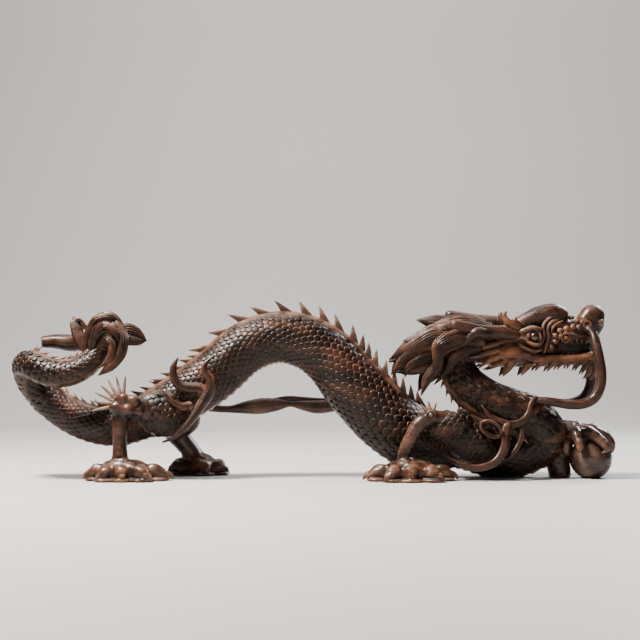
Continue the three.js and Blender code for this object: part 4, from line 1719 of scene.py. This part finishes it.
@dataclass(frozen=True)
class Paw:
    """A paw on the table: an ankle mound and knuckled toes that fan out.

    Each toe has its heading in degrees from +X towards +Y, and its reach.
    """

    ankle: Station
    toes: tuple[tuple[float, float], ...]

    def _along(self, heading: float, reach: float, course: Sequence[Station]) -> list[Station]:
        """Return the stations of a course laid out along a toe.

        Args:
            heading: the toe's heading, in degrees.
            reach: the toe's reach.
            course: stations [share of the reach, height, radius].

        Returns:
            The stations [x, y, z, radius].
        """
        x, y, _ = self.ankle
        turn = math.radians(heading)
        dx, dy = math.cos(turn) * reach, math.sin(turn) * reach
        return [(x + dx * share, y + dy * share, z, radius) for share, z, radius in course]

    def add_to(self, clay: Clay) -> None:
        """Add the paw to a mass."""
        x, y, z = self.ankle
        clay.ball((x, y, z - 2), (30, 20, 13), 7)
        for toe in self.toes:
            clay.rope(self._along(*toe, TOE), 6.0)
            clay.ball(self._along(*toe, TOE_RIM)[0][:3], (15, 13, 3.2), 1.5)

    def claws(self) -> list[Surface]:
        """Return the claws."""
        return [smooth_limb(self._along(*toe, CLAW), 14, 1.5) for toe in self.toes]


NEAR_HIND_PAW = Paw((-246, -52, 12), ((176, 44), (-138, 33), (-84, 25), (-34, 42), (2, 57)))
FAR_HIND_PAW = Paw((-156, 50, 12), ((172, 36), (104, 24), (44, 30), (-9, 36), (-60, 24)))
NEAR_FORE_PAW = Paw((126, -58, 12), ((178, 52), (-142, 36), (-88, 25), (-32, 42), (6, 54)))
FINGERS = (
    (
        (352, -2, 63, 10), (371, -8, 61, 9.4), (386, -10, 55, 8.2), (393, -11, 47, 7.4),
        (395, -11, 39, 5.0), (394, -11, 34, 2.0),
    ),
    (
        (350, -6, 62, 9.5), (363, -18, 61, 9.2), (375, -28, 53, 7.2), (382, -32.5, 46, 6.4),
        (384, -35, 39, 4.0), (379, -37, 35, 1.2),
    ),
    (
        (344, -6, 61, 9.5), (347, -20, 59, 8.8), (349, -29, 51, 6.6), (350, -34, 43, 5.2),
        (348, -36, 37, 1.5),
    ),
    ((354, 4, 62, 9), (370, 12, 60, 8.6), (382, 17, 51, 6.8), (389, 20, 42, 6.4), (391, 20, 34, 2.5)),
    ((342, 6, 58, 9), (340, 16, 50, 7.5), (342, 20, 40, 6.0), (346, 20, 32, 2.5)),
)


@dataclass(frozen=True)
class Thigh:
    """The rounded outer side of a thigh or shoulder that carries scales.

    `tip` is how many degrees its +X end goes down, `width` the width of a scale, and `heading` where
    the tips of the scales point.
    """

    centre: Station
    radii: Station
    tip: float
    width: float
    heading: Station


THIGHS = (
    Thigh((-197, -25, 86), (41, 23, 31), 20, 10.5, (-0.9, 0, -0.45)),
    Thigh((-192, 27, 84), (43, 23, 31), 20, 10.5, (-0.9, 0, -0.45)),
    Thigh((205, -29, 54), (43, 29, 32), 30, 10.5, (-0.95, 0, -0.3)),
    Thigh((180, -43, 73), (32, 20.5, 20), -18, 9.0, (-0.95, 0, -0.3)),
)


@dataclass
class Legs:
    """The hind legs, the fore legs and the pearl under the far fore paw."""

    cell: float = 1.4
    pearl_centre: Station = (369, -6, 26)
    pearl_radius: float = 28.0
    near_knee: Station = (-247, -46, 96)
    far_knee: Station = (-214, 44, 84)
    paw_rust: float = 0.22

    def _hind(self) -> Surface:
        """Return the hind quarters, dark about the knees."""
        clay = Clay((-305, -84, -6), (-108, 90, 132), self.cell)
        clay.ball((-197, -24, 86), (40, 22, 30), 5, 20)
        clay.ball((-192, 26, 84), (42, 22, 30), 5, 20)
        clay.ball(self.near_knee, (14, 12, 15), 5)
        clay.rope(((-222, -34, 90, 18), (-242, -44, 96, 13)), 5)
        shin = ((-247, -46, 92, 12), (-249, -50, 66, 10), (-249, -52, 40, 9.4), (-248, -52, 18, 13))
        clay.rope(shin, 4)
        self._knee(clay, self.near_knee)
        NEAR_HIND_PAW.add_to(clay)
        clay.ball(self.far_knee, (15, 12, 15), 5)
        clay.rope(((-205, 44, 84, 16), (-190, 46, 62, 16), (-174, 48, 42, 13), (-160, 50, 22, 14)), 5)
        self._knee(clay, self.far_knee)
        FAR_HIND_PAW.add_to(clay)
        clay.gnarl(1.0, 24, 38)
        clay.floor()
        legs = clay.skin()
        knees = np.array([self.near_knee, self.far_knee], float) + ((4, -4, 2), (9, 4, 0))
        gap = np.linalg.norm(legs.points[:, None] - knees[None], axis=2).min(1)
        legs.looks["lift"] = -0.30 * np.clip(1.8 - gap / 18, 0, 1)
        return legs

    def _fore(self) -> Surface:
        """Return the near fore leg."""
        clay = Clay((70, -98, -6), (256, 14, 112), self.cell)
        clay.ball((205, -28, 54), (42, 28, 31), 5, 30)
        clay.rope(((186, -44, 72, 17), (160, -50, 82, 9.5)), 5)
        clay.ball((154, -50, 84), (9, 9, 9), 3)
        shin = (
            (154, -52, 82, 10), (139, -56, 74, 9.6), (127, -58, 56, 8.6), (119, -58, 36, 8.4),
            (122, -58, 18, 12),
        )
        clay.rope(shin, 3)
        clay.rope(circle((153, -60, 85), 5.4, 1.8), 0.8)
        clay.ball((153, -61, 85), (3.2, 3.2, 3.2), 0.6)
        NEAR_FORE_PAW.add_to(clay)
        clay.gnarl(1.0, 24, 34)
        clay.floor()
        return clay.skin()

    @staticmethod
    def _knee(clay: Clay, centre: Station) -> None:
        """Add the knobs that cluster on a knee."""
        x, y, z = centre
        side = math.copysign(1.0, y)
        knobs = ((2, 6, 10, 8), (15, 5, 7, 8.5), (-8, 6, -2, 8.5), (8, 8, -5, 9), (21, 4, -6, 7.5))
        for dx, dy, dz, radius in knobs:
            clay.ball((x + dx, y + side * dy, z + dz), (radius,) * 3, 3.2)

    def _grip(self) -> Surface:
        """Return the far fore leg and its paw over the pearl."""
        clay = Clay((232, -52, -8), (412, 76, 92), self.cell)
        clay.rope(((262, 40, 50, 23), (298, 42, 56, 18), (324, 26, 62, 14), (344, 8, 64, 12)), 5)
        clay.ball((356, -2, 61), (19, 16, 10), 4)
        clay.rope(((318, 12, 60, 18), (325, 10, 38, 17), (328, 8, 18, 16), (330, 8, 6, 15)), 5)
        for knuckle in ((350, -4, 68, 8), (371, -7, 65, 8), (387, -5, 58, 7)):
            clay.ball(knuckle[:3], (knuckle[3],) * 3, 2)
        clay.ball((350, -12, 54), (16, 16, 10), 3, 15)
        clay.ball((372, 0, 58), (18, 18, 8), 3, 15)
        clay.ball((336, 0, 44), (10, 14, 18), 4)
        for finger in FINGERS:
            clay.rope(finger, 1.2)
        clay.gnarl(0.4, 21, 90)
        clay.floor()
        return clay.skin()

    def _pearl(self) -> Surface:
        """Return the pearl, cut flat by the table."""
        around, rings = 64, 40
        polar = np.linspace(0, np.pi, rings + 1)[1:-1]
        turn = np.linspace(0, 2 * np.pi, around, endpoint=False)
        points = [
            (math.sin(down) * math.cos(t), math.sin(down) * math.sin(t), math.cos(down))
            for down in polar
            for t in turn
        ]
        points = np.array([*points, (0, 0, 1.0), (0, 0, -1.0)]) * self.pearl_radius
        points += np.array(self.pearl_centre)
        points[:, 2] = np.maximum(points[:, 2], TABLE)
        faces = turned(tube_faces(rings - 1, around))
        top, bottom, base = (rings - 1) * around, (rings - 1) * around + 1, (rings - 2) * around
        faces.extend((top, k, (k + 1) % around) for k in range(around))
        faces.extend((bottom, base + (k + 1) % around, base + k) for k in range(around))
        return Surface(points, faces).facing_out()

    @staticmethod
    def _cap_scales(places: Places, thigh: Thigh) -> None:
        """Add places for the scales of a thigh."""
        turn, side = math.radians(thigh.tip), math.copysign(1.0, thigh.centre[1])
        c, s = math.cos(turn), math.sin(turn)
        width, radii = thigh.width, thigh.radii
        rows, columns = int(radii[0] / (0.72 * width)), int(radii[2] / width) + 1
        for i in range(-rows, rows + 1):
            for j in range(-columns, columns + 1):
                u, w = i * 0.72 * width, (j + 0.5 * (i % 2)) * width
                inside = 1 - (u / radii[0]) ** 2 - (w / radii[2]) ** 2
                if inside < 0.08:
                    continue
                v = radii[1] * math.sqrt(inside)
                normal = np.array([u / radii[0] ** 2, side * v / radii[1] ** 2, w / radii[2] ** 2])
                spot = np.array([u, side * v, w]) - 1.2 * normal / np.linalg.norm(normal)
                spot, normal = (
                    np.array([p[0] * c + p[2] * s, p[1], -p[0] * s + p[2] * c]) for p in (spot, normal)
                )
                facing = normal / np.linalg.norm(normal)
                along = np.array(thigh.heading, float)
                along = along - along.dot(facing) * facing
                size = (width * 1.12, width * 1.04, width * 0.6)
                places.add(np.array(thigh.centre) + spot, facing, along, size)

    def build_scales(self, carver: Carver, planter: Planter) -> None:
        """Add the scales of the thighs and the near shoulder."""
        places = Places()
        for thigh in THIGHS:
            self._cap_scales(places, thigh)
        wood = carver.finishes.material(BODY_FINISH)
        join_dragon(planter.plant("scales_limbs", scale_shape(), places, wood, wobble=4.0, seed=41))

    def build(self, carver: Carver) -> None:
        """Add the legs and the pearl."""
        hind, fore = self._hind(), self._fore()
        for paws in (hind, fore):
            paws.looks["rust"] = self.paw_rust * np.clip((34 - paws.points[:, 2]) / 14, 0, 1)
        for name, leg in (("hind_legs", hind), ("fore_leg", fore), ("pearl_paw", self._grip())):
            carver.carve(name, leg, LIMB_FINISH, passes=9)
        claws = [claw for paw in (NEAR_HIND_PAW, FAR_HIND_PAW, NEAR_FORE_PAW) for claw in paw.claws()]
        carver.carve("claws", merged(claws), LIMB_FINISH)
        carver.carve("pearl", self._pearl(), PEARL_FINISH)


# ---- Flames, spurs and the ribbon ----

FLAMES = (
    (
        (-140, -32, 112, 9), (-150, -35, 119, 8.5), (-160, -37, 119.5, 7.5), (-173, -38, 123, 6.5),
        (-181, -39, 134, 5.5), (-181, -38, 148, 4), (-175, -36, 160, TIP),
    ),
    (
        (-127.5, -35, 163, TIP), (-136.5, -37, 155, 2.6), (-141.5, -38, 148, 4.0),
        (-140, -38, 140, 5.0), (-133, -38, 131, 6.4), (-134, -38, 116, 7.4), (-143, -41, 100, 7.0),
        (-154, -45, 83, 5.4), (-165, -48, 69, 4.2), (-179, -48, 56, 3.0), (-196, -44, 49, 1.0),
    ),
    ((-156, -38, 98, 6), (-170, -44, 96, 5), (-183, -46, 103, 3.4), (-192, -45, 114, TIP)),
    (
        (296, -28, 109, 3.4), (287, -34, 100, 4.2), (282, -38, 86, 4.6), (273, -41, 76, 5.2),
        (258, -43, 71.5, 6.2), (243, -45, 75, 6.4), (231, -44, 83, 4.4), (220, -41, 98, TIP),
    ),
    (
        (256, -44, 76, 7), (251, -48, 60, 8), (248, -53, 41, 7.2), (237, -58, 25, 6.2),
        (218, -60, 17.5, 5.4), (199, -60, 18.5, 4.6), (184, -58, 25, 3.4), (168, -55, 35, TIP),
    ),
    (
        (268, -38, 74, 4.6), (272, -43, 60, 5.0), (267, -47, 46, 5.0), (258, -51, 34, 4.4),
        (246, -54, 26, 2),
    ),
)
LOOP = circle((231, -54, 67), 13.5, 3.9, 0.62, 32)
RIBBON = (
    (
        (-142, 22, 92, 5), (-112, 30, 90, 5), (-92, 32, 92, 8.5), (-70, 33, 94, 11), (-48, 33, 96, 8.5),
        (-30, 32, 97, 4), (-14, 32, 95, 6.5), (4, 31, 93, 9), (22, 28, 94, 8.5), (44, 20, 97, 6),
    ),
    ((-58, 36, 102, 2), (-34, 36, 104, 4), (-8, 36, 102, 4.4), (18, 32, 101, 4), (44, 22, 102, 4)),
)


@dataclass(frozen=True)
class Fan:
    """Thin spurs that fan out behind a joint, at angles above -X in degrees."""

    centre: Station
    count: int
    start: float
    end: float
    inner: float
    outer: float


@dataclass
class Flourishes:
    """The flames at the haunch and chest, the spurs behind the joints and the ribbon under the arch."""

    spur: tuple[tuple[float, float], ...] = ((0.0, 3.2), (0.35, 2.5), (0.7, 1.7), (1.0, 0.6))
    fans: tuple[Fan, ...] = (
        Fan((-247, -46, 98), 7, -8, 96, 8, 40),
        Fan((154, -50, 84), 4, 20, 110, 4, 22),
    )

    def _spurs(self, fan: Fan) -> list[Surface]:
        """Return the spurs of a fan, each thinner towards its tip."""
        made = []
        x, y, z = fan.centre
        for degrees in np.linspace(fan.start, fan.end, fan.count):
            turn = math.radians(degrees)
            stations = []
            for share, radius in self.spur:
                run = fan.inner + (fan.outer - fan.inner) * share
                rise = math.sin(turn) * run
                stations.append((x - math.cos(turn) * run, y, z + rise - 2 * share, radius))
            made.append(smooth_limb(stations, 12, 2.0))
        return made

    def build(self, carver: Carver) -> None:
        """Add the flames, the spurs and the ribbon."""
        flames = [smooth_limb(flame, 28, 1.8, groove=0.30, power=1.3) for flame in (*FLAMES, LOOP)]
        spurs = [spur for fan in self.fans for spur in self._spurs(fan)]
        ribbon = [smooth_limb(fold, 28, 2.0, groove=0.22, power=1.4) for fold in RIBBON]
        carver.carve("flames", merged(flames), HEAD_FINISH, passes=6, depth=1.4)
        carver.carve("spurs", merged(spurs), BLADE_FINISH)
        carver.carve("ribbon", merged(ribbon), BODY_FINISH, passes=6, depth=0.8)


# ---- Studio ----


@dataclass(frozen=True)
class Panel:
    """A soft rectangular lamp, aimed at a point."""

    name: str
    place: Station
    aim: Station
    width: float
    height: float
    watts: float
    colour: Colour = (1.0, 1.0, 1.0)


@dataclass
class Studio:
    """A pale floor and backdrop, soft lamps and the camera."""

    lens: float = 80.16
    sensor: float = 36.0
    camera_place: Station = (10, -1900, 150)
    camera_tilt: float = 91.8
    clip_end: float = 50.0
    paper: Colour = (0.44, 0.427, 0.41)
    paper_roughness: float = 0.6
    sky: Colour = (0.86, 0.87, 0.90)
    sky_strength: float = 0.05
    panels: tuple[Panel, ...] = (
        Panel("key", (-640, -340, 1420), (0, 0, 100), 400, 360, 126.0, (1.0, 0.94, 0.88)),
        Panel("fill", (900, -1300, 500), (150, 0, 100), 700, 900, 1.6, (0.94, 0.97, 1.0)),
        Panel("rim", (1000, 900, 900), (100, 0, 120), 500, 500, 24.0, (0.92, 0.96, 1.0)),
        Panel("low", (-200, -1500, 160), (0, 0, 60), 1400, 160, 0.8),
        Panel("backdrop", (0, 900, 2400), (0, 2400, 700), 2600, 600, 70.0),
    )

    def build(self) -> None:
        """Set the studio up."""
        sweep = self._sweep()
        sweep.data.materials.append(self._paper())
        for panel in self.panels:
            self._lamp(panel)
        world = bpy.data.worlds.new("studio")
        world.use_nodes = True
        background = world.node_tree.nodes["Background"]
        background.inputs["Color"].default_value = _rgba(self.sky)
        background.inputs["Strength"].default_value = self.sky_strength
        bpy.context.scene.world = world
        camera = bpy.data.cameras.new("camera")
        camera.lens = self.lens
        camera.sensor_width = self.sensor
        camera.clip_end = self.clip_end
        stand = bpy.data.objects.new("camera", camera)
        stand.location = (np.array(self.camera_place) + SHIFT) * MM
        stand.rotation_euler = (math.radians(self.camera_tilt), 0.0, 0.0)
        bpy.context.scene.collection.objects.link(stand)
        bpy.context.scene.camera = stand

    @staticmethod
    def _sweep() -> bpy.types.Object:
        """Add the floor, which curves up into the backdrop, in metres."""
        half, front, back, bend = 4.5, -3.5, 2.6, 1.2
        curve = [(front, 0.0), (back - bend, 0.0)]
        for turn in np.linspace(0, np.pi / 2, 17)[1:]:
            curve.append((back - bend + bend * math.sin(turn), bend - bend * math.cos(turn)))
        curve.append((back, 4.5))
        corners = [(x, y, z) for y, z in curve for x in (-half, half)]
        faces = [(2 * i, 2 * i + 1, 2 * i + 3, 2 * i + 2) for i in range(len(curve) - 1)]
        mesh = bpy.data.meshes.new("studio_sweep")
        mesh.from_pydata(corners, [], faces)
        mesh.polygons.foreach_set("use_smooth", np.ones(len(faces), bool))
        made = bpy.data.objects.new("studio_sweep", mesh)
        bpy.context.scene.collection.objects.link(made)
        return made

    def _paper(self) -> bpy.types.Material:
        """Return the plain matt material of the sweep."""
        material = bpy.data.materials.new("studio_paper")
        material.use_nodes = True
        shader = material.node_tree.nodes["Principled BSDF"]
        shader.inputs["Base Color"].default_value = _rgba(self.paper)
        shader.inputs["Roughness"].default_value = self.paper_roughness
        return material

    @staticmethod
    def _lamp(panel: Panel) -> None:
        """Add a lamp."""
        light = bpy.data.lights.new(panel.name, "AREA")
        light.shape = "RECTANGLE"
        light.size, light.size_y = panel.width * MM, panel.height * MM
        light.energy, light.color = panel.watts, panel.colour
        lamp = bpy.data.objects.new(panel.name, light)
        lamp.location = np.array(panel.place) * MM
        towards = Vector(panel.aim) - Vector(panel.place)
        lamp.rotation_euler = towards.to_track_quat("-Z", "Y").to_euler()
        bpy.context.scene.collection.objects.link(lamp)


def main() -> None:
    """Build the dragon and its studio."""
    logging.basicConfig(level=logging.INFO)
    carver = Carver(Finishes())
    planter = Planter()
    Body().build(carver, planter)
    Hair().build(carver)
    Head().build(carver)
    legs = Legs()
    legs.build(carver)
    legs.build_scales(carver, planter)
    Flourishes().build(carver)
    Studio().build()


if __name__ == "__main__":
    main()
